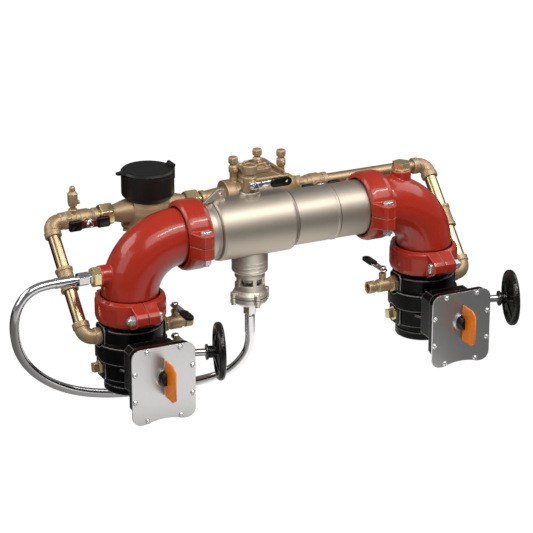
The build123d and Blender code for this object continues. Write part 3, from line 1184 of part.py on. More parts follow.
inlet_corner = (0, 0, SPOOL_Z)
outlet_corner = (VALVE_SPACING, 0, SPOOL_Z)
nodes["inlet_elbow"] = [grooved_elbow(inlet_corner, DOWN, RIGHT)]
nodes["outlet_elbow"] = [grooved_elbow(outlet_corner, LEFT, DOWN)]
joints = {
    "inlet_valve_coupling": ((0, 0, VALVE_H), UP, 1),
    "inlet_spool_coupling": ((SPOOL_START, 0, SPOOL_Z), RIGHT, 1),
    "outlet_spool_coupling": ((SPOOL_END, 0, SPOOL_Z), RIGHT, 1),
    "outlet_valve_coupling": ((VALVE_SPACING, 0, VALVE_H), UP, -1),
}
nodes["coupling_gaskets"] = []
nodes["coupling_bolts"] = []
for name, (centre, axis, flip) in joints.items():
    nodes[name] = grooved_coupling(centre, axis)
    nodes["coupling_gaskets"].append(coupling_gasket(centre, axis))
    nodes["coupling_bolts"].extend(coupling_fasteners(centre, axis, flip))

nodes["check_spool"] = [check_spool()]
nodes["spool_lug_and_port"] = [lifting_lug(), test_port_ring()]
nodes["check_seats_and_guides"] = [check_seat(0), check_seat(1), check_guide(0), check_guide(1)]
nodes["first_check_disc"] = [check_disc(0)]
nodes["second_check_disc"] = [check_disc(1)]
nodes["check_springs"] = [check_spring(0), check_spring(1)]

nodes["relief_collar"] = [relief_collar()]
nodes["relief_body"] = [relief_body()]
nodes["relief_cover"] = [relief_cover()]
nodes["relief_bolts"] = [*relief_bolts()]
nodes["relief_diaphragm"] = [relief_diaphragm()]
nodes["relief_stem"] = [relief_stem()]
nodes["relief_spring"] = [relief_spring()]
nodes["sensing_hose"] = [sensing_hose()]
nodes["hose_fittings"] = [*hose_fittings()]
nodes["bushings_and_plugs"] = [*bushings_and_plugs()]

spool_port = (PORT_X, 0, RING_PORT_TOP)
cocks = {"spool_cock": (spool_port, UP, FRONT, SPOOL_COCK_STEM_AT, SPOOL_COCK_LENGTH, SPOOL_COCK_LEVER_AT, RIGHT)}
cock_names = ("inlet_upper_cock", "inlet_lower_cock", "outlet_cock")
cock_levers = (FRONT, FRONT, BACK)
for name, (x0, side, z), lever_dir in zip(cock_names, COCK_PORTS, cock_levers):
    face = along(valve_port(x0, side, z), side, COCK_NIPPLE_L)
    cocks[name] = (face, side, UP, COCK_STEM_AT - COCK_NIPPLE_L, COCK_LENGTH - COCK_NIPPLE_L,
                   COCK_LEVER_AT, lever_dir)
nodes["test_cock_bodies"] = []
for name, (face, flow, stem, stem_at, length, lever_at, lever_dir) in cocks.items():
    nodes["test_cock_bodies"].append(cock_body(face, flow, stem, stem_at, length, lever_at))
    nodes[f"{name}_lever"] = [cock_lever(face, flow, stem, stem_at, lever_at, lever_dir)]

nodes["bypass_elbows"] = [
    small_elbow(IN_LOW, RIGHT, SLANT_UP),
    small_elbow(IN_HIGH, RIGHT, SLANT_DOWN),
    small_elbow(OUT_HIGH, LEFT, SLANT_DOWN),
    small_elbow(OUT_LOW, LEFT, SLANT_UP),
]
nodes["bypass_pipes"] = [*bypass_pipes()]
nodes["bypass_fittings"] = [*bypass_fittings()]
nodes["bypass_valve_bodies"] = [ball_valve_body(VALVE1_X, True), ball_valve_body(VALVE2_X, False)]
nodes["upstream_bypass_handle"] = [tee_handle(VALVE1_X)]
nodes["downstream_bypass_handle"] = [tee_handle(VALVE2_X)]
nodes["bypass_test_cocks"] = [*bypass_test_cocks()]
nodes["meter_body"] = [meter_body()]
nodes["meter_bolts"] = [*meter_bolts()]
nodes["meter_register"] = [meter_register()]
nodes["register_lid"] = [register_lid()]
nodes["preventer_body"] = [preventer_body()]
nodes["preventer_cover"] = [*preventer_cover()]

os.makedirs("parts", exist_ok=True)
for name, pieces in nodes.items():
    solids = [solid for piece in pieces for solid in piece.solids()]
    node = Compound(children=solids)
    node.label = name
    export_step(node, f"parts/{name}.step")
print(len(nodes), "nodes")
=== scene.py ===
# %% [markdown]
# # Reduced pressure detector assembly
# The real object is a four inch backflow preventer. Two black butterfly valves carry two red grooved elbows,
# and a stainless spool with two checks runs between them. A small bronze bypass with a meter passes behind.
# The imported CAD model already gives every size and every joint. This lesson dresses it: it softens the
# castings, gives each metal and plastic its finish, hangs the sensing hose and builds the studio.

import json
import math

import bmesh
import bpy
from mathutils import Matrix, Vector

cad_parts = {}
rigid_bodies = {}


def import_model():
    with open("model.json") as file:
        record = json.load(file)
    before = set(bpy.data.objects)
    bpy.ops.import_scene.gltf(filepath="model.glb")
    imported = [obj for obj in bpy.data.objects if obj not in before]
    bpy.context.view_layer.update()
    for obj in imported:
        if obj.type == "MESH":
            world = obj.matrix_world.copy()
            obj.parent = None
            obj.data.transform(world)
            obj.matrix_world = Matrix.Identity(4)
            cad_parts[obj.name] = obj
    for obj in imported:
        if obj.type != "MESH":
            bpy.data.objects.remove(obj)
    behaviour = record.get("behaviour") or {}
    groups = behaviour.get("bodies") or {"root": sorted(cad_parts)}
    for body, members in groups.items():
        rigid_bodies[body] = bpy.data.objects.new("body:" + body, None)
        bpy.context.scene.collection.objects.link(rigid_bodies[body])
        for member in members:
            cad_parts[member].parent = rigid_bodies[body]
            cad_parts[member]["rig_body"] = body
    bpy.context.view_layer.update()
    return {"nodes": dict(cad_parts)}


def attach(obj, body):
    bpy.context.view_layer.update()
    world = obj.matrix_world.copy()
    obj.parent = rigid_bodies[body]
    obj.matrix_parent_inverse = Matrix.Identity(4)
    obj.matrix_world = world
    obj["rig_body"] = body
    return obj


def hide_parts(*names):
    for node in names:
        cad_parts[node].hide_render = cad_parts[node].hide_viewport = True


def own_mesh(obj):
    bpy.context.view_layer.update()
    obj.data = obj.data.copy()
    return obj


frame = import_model()
nodes = frame["nodes"]

# %% [markdown]
# ## Camera
# The photograph was taken from the left of the front, about 21 degrees above the level, with a long lens, so
# its far lines hardly meet. A short lens could show the same frame, but it would swell the near valve. The
# camera stands 5 m away for that reason and is turned towards the middle of the spool.

# %% Camera
CAMERA_AT = Vector((-1.8261, -4.4266, 2.0732))
CAMERA_AIM = Vector((0.30537, 0.0, 0.20816))
CAMERA_LENS = 171.83
SENSOR_WIDTH = 36
CAMERA_REACH = 60

camera_data = bpy.data.cameras.new("photo_camera")
camera_data.lens = CAMERA_LENS
camera_data.sensor_width = SENSOR_WIDTH
camera_data.clip_end = CAMERA_REACH
camera = bpy.data.objects.new("photo_camera", camera_data)
camera.location = CAMERA_AT
camera.rotation_euler = (CAMERA_AIM - CAMERA_AT).to_track_quat("-Z", "Y").to_euler()
bpy.context.scene.collection.objects.link(camera)
bpy.context.scene.camera = camera
bpy.context.scene.view_settings.view_transform = "Standard"
print("camera", [round(v, 3) for v in camera.location])

# %% [markdown]
# ## Shader helpers
# A material is a small network of nodes. Each node could be made and linked in five lines, but the same
# lines would come back some hundred times. One helper makes a node with its settings and its sockets in a
# single call, and two more mix colours and move a value from one range to another.


# %% Node helper
def add(tree, kind, inputs=None, **settings):
    """A shader node. Settings are its properties; inputs are values or other nodes' sockets."""
    made = tree.nodes.new("ShaderNode" + kind)
    for name, value in settings.items():
        setattr(made, name, value)
    for name, value in (inputs or {}).items():
        if isinstance(value, bpy.types.NodeSocket):
            tree.links.new(value, made.inputs[name])
        else:
            made.inputs[name].default_value = value
    return made


# %% Mixing and mapping
def mix_colours(tree, factor, first, second, blend="MIX"):
    """Colour socket between two colours."""
    made = add(tree, "Mix", {0: factor, 6: first, 7: second}, data_type="RGBA", blend_type=blend)
    return made.outputs[2]


def mapped(tree, value, low, high, to_low, to_high):
    """Value socket moved from one range to another, clamped."""
    sockets = {"Value": value, "From Min": low, "From Max": high, "To Min": to_low, "To Max": to_high}
    return add(tree, "MapRange", sockets).outputs["Result"]


# %% [markdown]
# An effect that several finishes share is a node group with named inputs and outputs. It is built once and
# placed in each material with that material's own values. Only masks, values and normals leave a group. The
# shaders stay in the materials.


# %% Group helpers
def group(name, inputs, outputs):
    """Empty node group with named float or vector sockets. Returns tree, input node and output node."""
    tree = bpy.data.node_groups.new(name, "ShaderNodeTree")
    for socket, value in inputs.items():
        kind = "NodeSocketVector" if isinstance(value, tuple) else "NodeSocketFloat"
        made = tree.interface.new_socket(socket, in_out="INPUT", socket_type=kind)
        made.default_value = value
    for socket, kind in outputs.items():
        tree.interface.new_socket(socket, in_out="OUTPUT", socket_type="NodeSocket" + kind)
    return tree, tree.nodes.new("NodeGroupInput"), tree.nodes.new("NodeGroupOutput")


def use(tree, shared, inputs=None):
    """Places a shared group in a material."""
    made = tree.nodes.new("ShaderNodeGroup")
    made.node_tree = shared
    for name, value in (inputs or {}).items():
        made.inputs[name].default_value = value
    return made


# %% [markdown]
# ## Cast grain
# Sand leaves a fine grain on a casting, and paint and handling leave blotches some centimetres wide. Both are
# noise in object space at their real size. A texture could be unwrapped over each piece instead, but noise
# in space needs no unwrapping and never shows a seam.


# %% Grain group
def grain_group():
    """Fine and coarse noise in object space."""
    tree, given, out = group(
        "cast_grain",
        {"Grain size": 0.0015, "Blotch size": 0.03},
        {"Grain": "Float", "Blotches": "Float"},
    )
    place = add(tree, "TexCoord").outputs["Object"]
    for size, result, detail in (("Grain size", "Grain", 3.0), ("Blotch size", "Blotches", 4.0)):
        scale = add(tree, "Math", {0: 1.0, 1: given.outputs[size]}, operation="DIVIDE").outputs[0]
        noise = add(tree, "TexNoise", {"Vector": place, "Scale": scale, "Detail": detail})
        tree.links.new(noise.outputs["Fac"], out.inputs[result])
    return tree


GRAIN = grain_group()
print("group", GRAIN.name)

# %% [markdown]
# ## Soft edges
# No real edge is razor sharp: it is round over about a millimetre, it catches light, and paint wears thin on
# it. The Bevel node bends the normal near a sharp edge, and the angle between the bent and the true normal
# gives a mask of the edge. On the dense meshes of the castings, whose edges are truly round, Pointiness finds
# the ridges. The finishes paint their edges lighter with this mask, partly as wear and partly as a painted
# highlight.

# %% Edge group
RIDGE_FROM, RIDGE_TO = 0.508, 0.550
SHARP_FROM, SHARP_TO = 0.995, 0.86
BEVEL_SAMPLES = 6


def edges_group():
    """Rounded edge normal, and a mask of sharp edges and, on dense meshes, of rounded ridges."""
    tree, given, out = group("soft_edges", {"Radius": 0.001, "Ridges": 0.0},
                             {"Normal": "Vector", "Edges": "Float"})
    round_over = add(tree, "Bevel", {"Radius": given.outputs["Radius"]}, samples=BEVEL_SAMPLES)
    surface = add(tree, "NewGeometry")
    dot = add(tree, "VectorMath", {0: round_over.outputs["Normal"], 1: surface.outputs["Normal"]},
              operation="DOT_PRODUCT")
    sharp = mapped(tree, dot.outputs["Value"], SHARP_FROM, SHARP_TO, 0.0, 1.0)
    ridge = mapped(tree, surface.outputs["Pointiness"], RIDGE_FROM, RIDGE_TO, 0.0, 1.0)
    kept = add(tree, "Math", {0: ridge, 1: given.outputs["Ridges"]}, operation="MULTIPLY").outputs[0]
    mask = add(tree, "Math", {0: sharp, 1: kept}, operation="MAXIMUM").outputs[0]
    tree.links.new(round_over.outputs["Normal"], out.inputs["Normal"])
    tree.links.new(mask, out.inputs["Edges"])
    return tree


EDGES = edges_group()
print("group", EDGES.name)

# %% [markdown]
# ## The recipe of a finish
# Every finish of this object is one recipe with other values. A base colour wanders towards a deeper one with
# the blotches, the edges are lighter (partly wear, partly a painted highlight), the roughness follows the
# grain, and the grain also lifts the surface a little. Gloss paint gets a clear coat that is thicker on its
# edges. What is the same all over the surface, such as the metal share, is set on the shader itself.

# %% Recipe
BLOTCH_FROM, BLOTCH_TO = 0.35, 0.65
GRAIN_FROM, GRAIN_TO = 0.3, 0.7
ROUGHNESS_SPAN = 0.18


def finish_of(name, colour, edge, metallic, rough, grain, bump, radius, drift, coat=0.0,
              coat_rough=0.1, dark=0.6, shine=0.5, edge_coat=0.0, ridges=0.0):
    """Material with a base colour, a lighter edge colour, and a grain and blotch size in metres."""
    made = bpy.data.materials.new(name)
    made.use_nodes = True
    tree = made.node_tree
    shader = tree.nodes["Principled BSDF"]
    noise = use(tree, GRAIN, {"Grain size": grain[0], "Blotch size": grain[1]})
    corners = use(tree, EDGES, {"Radius": radius, "Ridges": ridges})
    deep = tuple(c * dark for c in colour)
    wander = mapped(tree, noise.outputs["Blotches"], BLOTCH_FROM, BLOTCH_TO, 0.0, drift * 2)
    body = mix_colours(tree, wander, (*colour, 1), (*deep, 1))
    # The edge mask lightens the colour towards the edge colour: partly wear, partly a painted highlight.
    wear_and_glint = add(tree, "Math", {0: corners.outputs["Edges"], 1: noise.outputs["Grain"]}, operation="MULTIPLY")
    skin = mix_colours(tree, wear_and_glint.outputs[0], body, (*edge, 1))
    tree.links.new(skin, shader.inputs["Base Color"])
    relief = noise.outputs["Grain"]
    span = rough * ROUGHNESS_SPAN
    roughness = mapped(tree, relief, GRAIN_FROM, GRAIN_TO, rough - span, rough + span)
    tree.links.new(roughness, shader.inputs["Roughness"])
    bumps = add(tree, "Bump", {"Strength": bump, "Distance": grain[0], "Height": relief,
                               "Normal": corners.outputs["Normal"]})
    tree.links.new(bumps.outputs["Normal"], shader.inputs["Normal"])
    if edge_coat > coat:
        lustre = mapped(tree, corners.outputs["Edges"], 0.0, 1.0, coat, edge_coat)
        tree.links.new(lustre, shader.inputs["Coat Weight"])
    else:
        shader.inputs["Coat Weight"].default_value = coat
    shader.inputs["Specular IOR Level"].default_value = shine
    shader.inputs["Metallic"].default_value = metallic
    shader.inputs["Coat Roughness"].default_value = coat_rough
    return made


# %% [markdown]
# ## Paints
# The elbows and couplings are dipped in red epoxy, thick and glossy. The valves and gear housings are black
# epoxy over a rough casting, and the handwheels are a smoother black. Their edges show as thin pale lines of
# light in the photograph, so the edge colours are far lighter than the paint: these lines are painted
# highlights.

# %% Paints
RED = finish_of("red_paint", (0.42, 0.023, 0.007), edge=(0.80, 0.28, 0.22),
                metallic=0.0, rough=0.34, grain=(0.004, 0.05), bump=0.03, radius=0.0014, drift=0.08,
                coat=0.60, coat_rough=0.07, shine=0.25, edge_coat=1.0, ridges=1.0)
BLACK = finish_of("black_paint", (0.0035, 0.0035, 0.0035), edge=(0.90, 0.90, 0.90),
                  metallic=0.0, rough=0.20, grain=(0.003, 0.04), bump=0.08, radius=0.0012, drift=0.10,
                  shine=0.10, edge_coat=1.0, ridges=1.0)
WHEEL_BLACK = finish_of("gloss_black", (0.0035, 0.0035, 0.0035), edge=(0.16, 0.16, 0.16),
                        metallic=0.0, rough=0.12, grain=(0.004, 0.03), bump=0.25, radius=0.0012,
                        drift=0.10, shine=0.40, edge_coat=1.0, ridges=1.0)
print("paints", RED.name, BLACK.name, WHEEL_BLACK.name)

# %% [markdown]
# ## Stainless steel
# The spool is rolled and brushed sheet, the relief valve is cast and blasted, and the cover plates are satin
# sheet. All are the same metal, so they differ mainly in roughness. A metal has no colour of its own to
# speak of: the warm tint of the spool is a little nickel tone and much of the warm light.

# %% Stainless steel
STAINLESS = finish_of("stainless", (0.64, 0.585, 0.51), edge=(0.9, 0.87, 0.82),
                      metallic=1.0, rough=0.40, grain=(0.0006, 0.05), bump=0.006, radius=0.0012,
                      drift=0.05, dark=0.88)
SPOOL = finish_of("spool_stainless", (0.525, 0.47, 0.40), edge=(0.7, 0.66, 0.60),
                  metallic=1.0, rough=0.51, grain=(0.0006, 0.05), bump=0.006, radius=0.0006,
                  drift=0.05, dark=0.88)
CAST_STEEL = finish_of("cast_stainless", (0.84, 0.78, 0.69), edge=(0.98, 0.94, 0.86),
                       metallic=0.9, rough=0.46, grain=(0.0012, 0.02), bump=0.10, radius=0.0008,
                       drift=0.10, dark=0.8, ridges=1.0)
PLATE = finish_of("satin_plate", (0.75, 0.75, 0.76), edge=(1.0, 1.0, 1.0),
                  metallic=1.0, rough=0.34, grain=(0.0008, 0.05), bump=0.002, radius=0.0012,
                  drift=0.04, dark=0.92)
print("stainless", STAINLESS.name, SPOOL.name, CAST_STEEL.name, PLATE.name)

# %% [markdown]
# ## Plated and plain steel
# Levers and hose fittings are chrome plated, nearly a mirror. The hose's braid lies under a clear sleeve and
# mirrors like chrome, a little softer. Bolts and screws are zinc plated, with a finer and greyer shine, and
# shafts and springs are bare.

# %% Plated and plain steel
CHROME = finish_of("chrome", (0.80, 0.80, 0.81), edge=(0.98, 0.98, 0.98),
                   metallic=1.0, rough=0.09, grain=(0.002, 0.03), bump=0.02, radius=0.0006, drift=0.05,
                   dark=0.8)
HOSE_CHROME = finish_of("hose_chrome", (0.84, 0.84, 0.85), edge=(0.9, 0.9, 0.9),
                        metallic=1.0, rough=0.12, grain=(0.002, 0.03), bump=0.02, radius=0.0006,
                        drift=0.05, dark=0.8)
ZINC = finish_of("zinc_plate", (0.82, 0.82, 0.83), edge=(1.0, 1.0, 1.0),
                 metallic=0.80, rough=0.24, grain=(0.001, 0.02), bump=0.03, radius=0.0008, drift=0.08,
                 dark=0.8)
STEEL = finish_of("steel", (0.60, 0.60, 0.61), edge=(0.9, 0.9, 0.9),
                  metallic=1.0, rough=0.18, grain=(0.0012, 0.02), bump=0.04, radius=0.0005, drift=0.10,
                  dark=0.7)
print("steels", CHROME.name, HOSE_CHROME.name, ZINC.name, STEEL.name)

# %% [markdown]
# ## Bronze and brass
# The bypass is cast bronze, left as it came from the sand: dull, tan and grainy. Nuts, bushings and plugs are
# turned from yellow brass and are bright. The pipes are drawn brass with a satin skin.

# %% Bronze and brass
BRONZE = finish_of("bronze", (0.45, 0.32, 0.187), edge=(0.95, 0.78, 0.54),
                   metallic=0.60, rough=0.48, grain=(0.0012, 0.02), bump=0.16, radius=0.0010,
                   drift=0.14, dark=0.7, ridges=1.0)
BRASS = finish_of("brass", (0.95, 0.77, 0.42), edge=(1.0, 0.96, 0.78),
                  metallic=0.85, rough=0.15, grain=(0.001, 0.03), bump=0.04, radius=0.0007, drift=0.10,
                  dark=0.75)
TAN_PIPE = finish_of("tan_pipe", (0.63, 0.465, 0.275), edge=(0.9, 0.76, 0.54),
                     metallic=1.0, rough=0.22, grain=(0.0012, 0.04), bump=0.012, radius=0.0006,
                     drift=0.10, dark=0.85)
print("bronze and brass", BRONZE.name, BRASS.name, TAN_PIPE.name)

# %% [markdown]
# ## Plastics and rubber
# The position fins are orange moulded plastic, the meter's register and the knobs are black plastic with a
# soft sheen, and the lever grips are dipped vinyl, a bit glossier. The T handles have a dark red plate.

# %% Plastics and rubber
ORANGE = finish_of("orange_plastic", (1.0, 0.25, 0.004), edge=(1.0, 0.55, 0.14),
                   metallic=0.0, rough=0.40, grain=(0.002, 0.03), bump=0.03, radius=0.0018, drift=0.06,
                   coat=0.05, coat_rough=0.2, shine=0.15, edge_coat=0.9)
PLASTIC = finish_of("black_plastic", (0.009, 0.0085, 0.008), edge=(0.06, 0.06, 0.06),
                    metallic=0.0, rough=0.40, grain=(0.0012, 0.03), bump=0.06, radius=0.0012,
                    drift=0.10, shine=0.3, edge_coat=0.9)
RUBBER = finish_of("rubber", (0.010, 0.010, 0.010), edge=(0.03, 0.03, 0.03),
                   metallic=0.0, rough=0.6, grain=(0.002, 0.03), bump=0.1, radius=0.0006, drift=0.10)
GRIP = finish_of("grip_vinyl", (0.006, 0.006, 0.006), edge=(0.06, 0.06, 0.06),
                 metallic=0.0, rough=0.28, grain=(0.002, 0.02), bump=0.05, radius=0.0014, drift=0.10,
                 shine=0.25, edge_coat=0.9)
DARK_RED = finish_of("dark_red_plate", (0.10, 0.008, 0.010), edge=(0.35, 0.05, 0.05),
                     metallic=0.0, rough=0.30, grain=(0.002, 0.02), bump=0.05, radius=0.0006,
                     drift=0.10)
print("plastics and rubber", ORANGE.name, PLASTIC.name, RUBBER.name, GRIP.name, DARK_RED.name)

# %% [markdown]
# ## Seams of the spool
# The spool is welded from rolled lengths, and each seam shows as a fine dark line, the shade in its narrow
# groove. A cut groove would need a very dense mesh, and a line this fine is better drawn by the material: a
# mask is 1 near each seam's place along the spool, and the colour under it is repainted dark as painted shade.


# %% Repaint helper
def repaint(material, mask, colour):
    """Covers a material's base colour with another one where the mask is 1."""
    tree = material.node_tree
    base = tree.nodes["Principled BSDF"].inputs["Base Color"]
    covered = mix_colours(tree, mask, base.links[0].from_socket, (*colour, 1))
    tree.links.new(covered, base)


# %% Spool seams
SEAM_XS = (0.1805, 0.3540, 0.4500)
SEAM_HALF = 0.0008
SEAM_FADE = 1.8
SEAM_DEPTH = 0.75
SEAM_SHADE_COLOUR = (0.05, 0.045, 0.04)

# Painted shade: a dark line in the colour along each seam, where its groove would lie in shade.
spool_tree = SPOOL.node_tree
spool_x = add(spool_tree, "SeparateXYZ", {0: add(spool_tree, "TexCoord").outputs["Object"]}).outputs["X"]
seams = 0.0
for x in SEAM_XS:
    off = add(spool_tree, "Math", {0: spool_x, 1: x}, operation="SUBTRACT").outputs[0]
    away = add(spool_tree, "Math", {0: off}, operation="ABSOLUTE").outputs[0]
    line = mapped(spool_tree, away, SEAM_HALF, SEAM_HALF * SEAM_FADE, SEAM_DEPTH, 0.0)
    seams = add(spool_tree, "Math", {0: seams, 1: line}, operation="MAXIMUM").outputs[0]
repaint(SPOOL, seams, SEAM_SHADE_COLOUR)
print("seams", len(SEAM_XS))

# %% [markdown]
# ## The dull pipe
# The long level pipe of the bypass is not drawn brass like the slanted ones: in the photograph it is as dull
# as the castings beside it. It is in the same CAD node as the others, whose mesh may not change, so the
# material itself tells it apart by its place.

# %% Dull pipe
LONG_PIPE_X = 0.42
LONG_PIPE_Z = 0.30
DULL_ROUGH = 0.50
DULL_COLOUR = (0.50, 0.36, 0.215)

pipe_tree = TAN_PIPE.node_tree
pipe_at = add(pipe_tree, "SeparateXYZ", {0: add(pipe_tree, "TexCoord").outputs["Object"]})
right_of = add(pipe_tree, "Math", {0: pipe_at.outputs["X"], 1: LONG_PIPE_X}, operation="GREATER_THAN")
above = add(pipe_tree, "Math", {0: pipe_at.outputs["Z"], 1: LONG_PIPE_Z}, operation="GREATER_THAN")
both_ways = {0: right_of.outputs[0], 1: above.outputs[0]}
dull = add(pipe_tree, "Math", both_ways, operation="MULTIPLY").outputs[0]
repaint(TAN_PIPE, dull, DULL_COLOUR)
pipe_rough = pipe_tree.nodes["Principled BSDF"].inputs["Roughness"]
polish = pipe_rough.links[0].from_socket
dulled = add(pipe_tree, "Mix", {0: dull, 2: polish, 3: DULL_ROUGH}, data_type="FLOAT").outputs[0]
pipe_tree.links.new(dulled, pipe_rough)
print("dull beyond", LONG_PIPE_X, "and above", LONG_PIPE_Z)

# %% [markdown]
# ## The fin's reflection
# The orange fin stands on a satin plate, which mirrors it as a faint brown shade. The full orange would
# spread over the plate, so a ray that comes from a mirror meets a quieter colour.

# %% Fin reflection
MIRRORED_ORANGE = (0.30, 0.15, 0.11)

orange_path = add(ORANGE.node_tree, "LightPath")
repaint(ORANGE, orange_path.outputs["Is Glossy Ray"], MIRRORED_ORANGE)
print("materials", len(bpy.data.materials))

# %% [markdown]
# ## CAD nodes that keep their shape
# Plates, screws, bolts, pipes and seats are machined or bought, and their CAD solids are right as they are.
# They could be rebuilt like the castings, but that would only blunt them. They just get their finish.

# %% Finishes of the CAD nodes
VALVES = ("inlet", "outlet")
KEPT = {
    SPOOL: ["check_spool"],
    STAINLESS: ["relief_stem"],
    PLATE: [f"{v}_cover_plate" for v in VALVES],
    CHROME: ["indicator_rings", "hose_fittings"],
    ZINC: ["cover_screws", "coupling_bolts"],
    STEEL: ["housing_bolts", "relief_spring", "relief_bolts"]
    + [f"{v}_worm_shaft" for v in VALVES] + [f"{v}_valve_disc" for v in VALVES],
    BRASS: ["bushings_and_plugs", "check_seats_and_guides", "first_check_disc", "second_check_disc"],
    RUBBER: ["valve_seat_liners", "coupling_gaskets", "relief_diaphragm"],
    PLASTIC: ["meter_register", "register_lid"],
    TAN_PIPE: ["bypass_pipes"],
    BRONZE: ["meter_bolts"],
}
for finish, names in KEPT.items():
    for name in names:
        nodes[name].data.materials.clear()
        nodes[name].data.materials.append(finish)
print("kept nodes", sum(len(names) for names in KEPT.values()))

# %% [markdown]
# ## Castings
# Cast metal has round corners everywhere, inside and out. A bevel modifier could round the edges of a solid,
# but it fails where many edges meet, as at the ribs of a valve. So a casting is a copy of its CAD solid that
# is rebuilt from small cells, smoothed, and thinned out again. Extra ribs and bosses that touch the copy melt
# into it in the same step. First come the helpers that copy, shape and join meshes.


# %% Copies and places
def own_copy(name, new_name):
    """Separate object with the node's mesh, its seams joined."""
    mesh = nodes[name].data.copy()
    made = bpy.data.objects.new(new_name, mesh)
    bpy.context.scene.collection.objects.link(made)
    shape = bmesh.new()
    shape.from_mesh(mesh)
    bmesh.ops.remove_doubles(shape, verts=shape.verts, dist=0.00001)
    shape.to_mesh(mesh)
    shape.free()
    mesh.materials.clear()
    return made


def middle_of(name):
    """Centre of a node's box."""
    corners = [nodes[name].matrix_world @ Vector(corner) for corner in nodes[name].bound_box]
    return Vector([(min(values) + max(values)) / 2 for values in zip(*corners)])


def mesh_object(name, shape):
    """Object from a finished bmesh."""
    mesh = bpy.data.meshes.new(name)
    shape.to_mesh(mesh)
    shape.free()
    made = bpy.data.objects.new(name, mesh)
    bpy.context.scene.collection.objects.link(made)
    return made


# %% Solids for ribs, bosses and rings
def hull(points):
    """Convex solid around points."""
    shape = bmesh.new()
    for point in points:
        shape.verts.new(point)
    made = bmesh.ops.convex_hull(shape, input=shape.verts)
    spare = [v for v in made["geom_interior"] if isinstance(v, bmesh.types.BMVert)]
    bmesh.ops.delete(shape, geom=spare, context="VERTS")
    bmesh.ops.recalc_face_normals(shape, faces=shape.faces)
    return mesh_object("hull", shape)


def prism(outline, start, sweep):
    """Convex solid of an outline of points moved by start, and drawn out along sweep."""
    near = [Vector(point) + Vector(start) for point in outline]
    return hull(near + [point + Vector(sweep) for point in near])


def turned(outline, turn_from=0.0, turn_to=360.0, steps=96):
    """Solid turned about Z from (radius, height) points, closed at its ends when it isn't a full turn."""
    shape = bmesh.new()
    full = turn_to - turn_from >= 360.0
    rings = []
    for i in range(steps if full else steps + 1):
        angle = math.radians(turn_from + (turn_to - turn_from) * i / steps)
        rings.append([shape.verts.new((r * math.cos(angle), r * math.sin(angle), h)) for r, h in outline])
    pairs = list(zip(rings, rings[1:])) + ([(rings[-1], rings[0])] if full else [])
    for here, there in pairs:
        for i in range(len(outline)):
            j = (i + 1) % len(outline)
            shape.faces.new((here[i], here[j], there[j], there[i]))
    if not full:
        shape.faces.new(rings[0])
        shape.faces.new(rings[-1])
    bmesh.ops.recalc_face_normals(shape, faces=shape.faces)
    return mesh_object("turned", shape)


# %% Joining and rounding
SMOOTH_FACTOR = 0.5
KEPT_FACES = 0.35


def joined(pieces, name):
    """One object of several, each with its place worked into its mesh."""
    shape = bmesh.new()
    for piece in pieces:
        piece.data.transform(piece.matrix_world)
        shape.from_mesh(piece.data)
    for piece in pieces:
        bpy.data.objects.remove(piece)
    return mesh_object(name, shape)


def applied(made):
    """The object with its modifiers worked into its mesh."""
    settled = made.evaluated_get(bpy.context.evaluated_depsgraph_get())
    mesh = bpy.data.meshes.new_from_object(settled)
    made.modifiers.clear()
    old = made.data
    made.data = mesh
    bpy.data.meshes.remove(old)
    return made


def rounded(made, voxel, rounds):
    """Object rebuilt from cells and smoothed."""
    cells = made.modifiers.new("cells", "REMESH")
    cells.mode = "VOXEL"
    cells.voxel_size = voxel * 1.0
    soft = made.modifiers.new("soft", "SMOOTH")
    soft.iterations = rounds
    soft.factor = SMOOTH_FACTOR
    thin = made.modifiers.new("thin", "DECIMATE")
    thin.ratio = KEPT_FACES
    applied(made)
    made.data.shade_smooth()
    return made


# %% Standing in for a CAD node
def stand_in(made, name, finish, slot):
    """Makes an object the visible form of a CAD node."""
    made.data.materials.clear()
    made.data.materials.append(finish)
    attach(made, nodes[name]["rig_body"])
    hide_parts(name)
    return made


def casting(name, finish, slot, voxel, rounds, extras=()):
    """Rounded copy of a CAD node, with extra ribs and bosses, that replaces it."""
    made = own_copy(name, f"{name}_casting")
    if extras:
        made = joined([made, *extras], f"{name}_casting")
    return stand_in(rounded(made, voxel, rounds), name, finish, slot)


# %% [markdown]
# ## Grooved couplings
# A coupling is two cast half rings that grip the grooves of both pipes, drawn together by two bolts through
# pads at their ends. The CAD solid has the right size but plain pads. Here each half is turned from the real
# outline of the ring, the two pads are convex forms that are broad at their foot and narrow at their tip, and
# the three melt into one. A thin gap stays between the halves, as on the real one.

# %% Coupling outlines
LIP_R = 0.0612
RING_OUTLINE = [(LIP_R, 0.027), (0.0655, 0.027), (0.0705, 0.0225), (0.0725, 0.0150), (0.0725, -0.0150),
                (0.0705, -0.0225), (0.0655, -0.027), (LIP_R, -0.027)]
PAD_OUTLINE = [(-0.0265, 0.066), (-0.0145, 0.0905), (-0.0080, 0.0970), (0.0080, 0.0970), (0.0145, 0.0905),
               (0.0265, 0.066)]
PAD_TOP = 0.0255
PAD_FOOT_TOP = 0.0275
PAD_FOOT_REACH = 0.08
SPLIT_HALF = 0.0009
COUPLING_VOXEL = 0.0010
COUPLING_ROUNDS = 2
COUPLINGS = {"inlet_valve_coupling": "Z", "inlet_spool_coupling": "X", "outlet_spool_coupling": "X",
             "outlet_valve_coupling": "Z"}
print("couplings", len(COUPLINGS))


# %% Couplings
def coupling_half():
    """Half ring with its two bolt pads, along local Z, on the positive side of local X."""
    lean = math.degrees(SPLIT_HALF / LIP_R)
    pieces = [turned(RING_OUTLINE, -90 + lean, 90 - lean)]
    for side in (-1, 1):
        low = [(SPLIT_HALF, side * q, p) for p, q in PAD_OUTLINE]
        high = [(PAD_FOOT_TOP if q < PAD_FOOT_REACH else PAD_TOP, side * q, p) for p, q in PAD_OUTLINE]
        pieces.append(hull(low + high))
    return rounded(joined(pieces, "coupling_half"), COUPLING_VOXEL, COUPLING_ROUNDS)


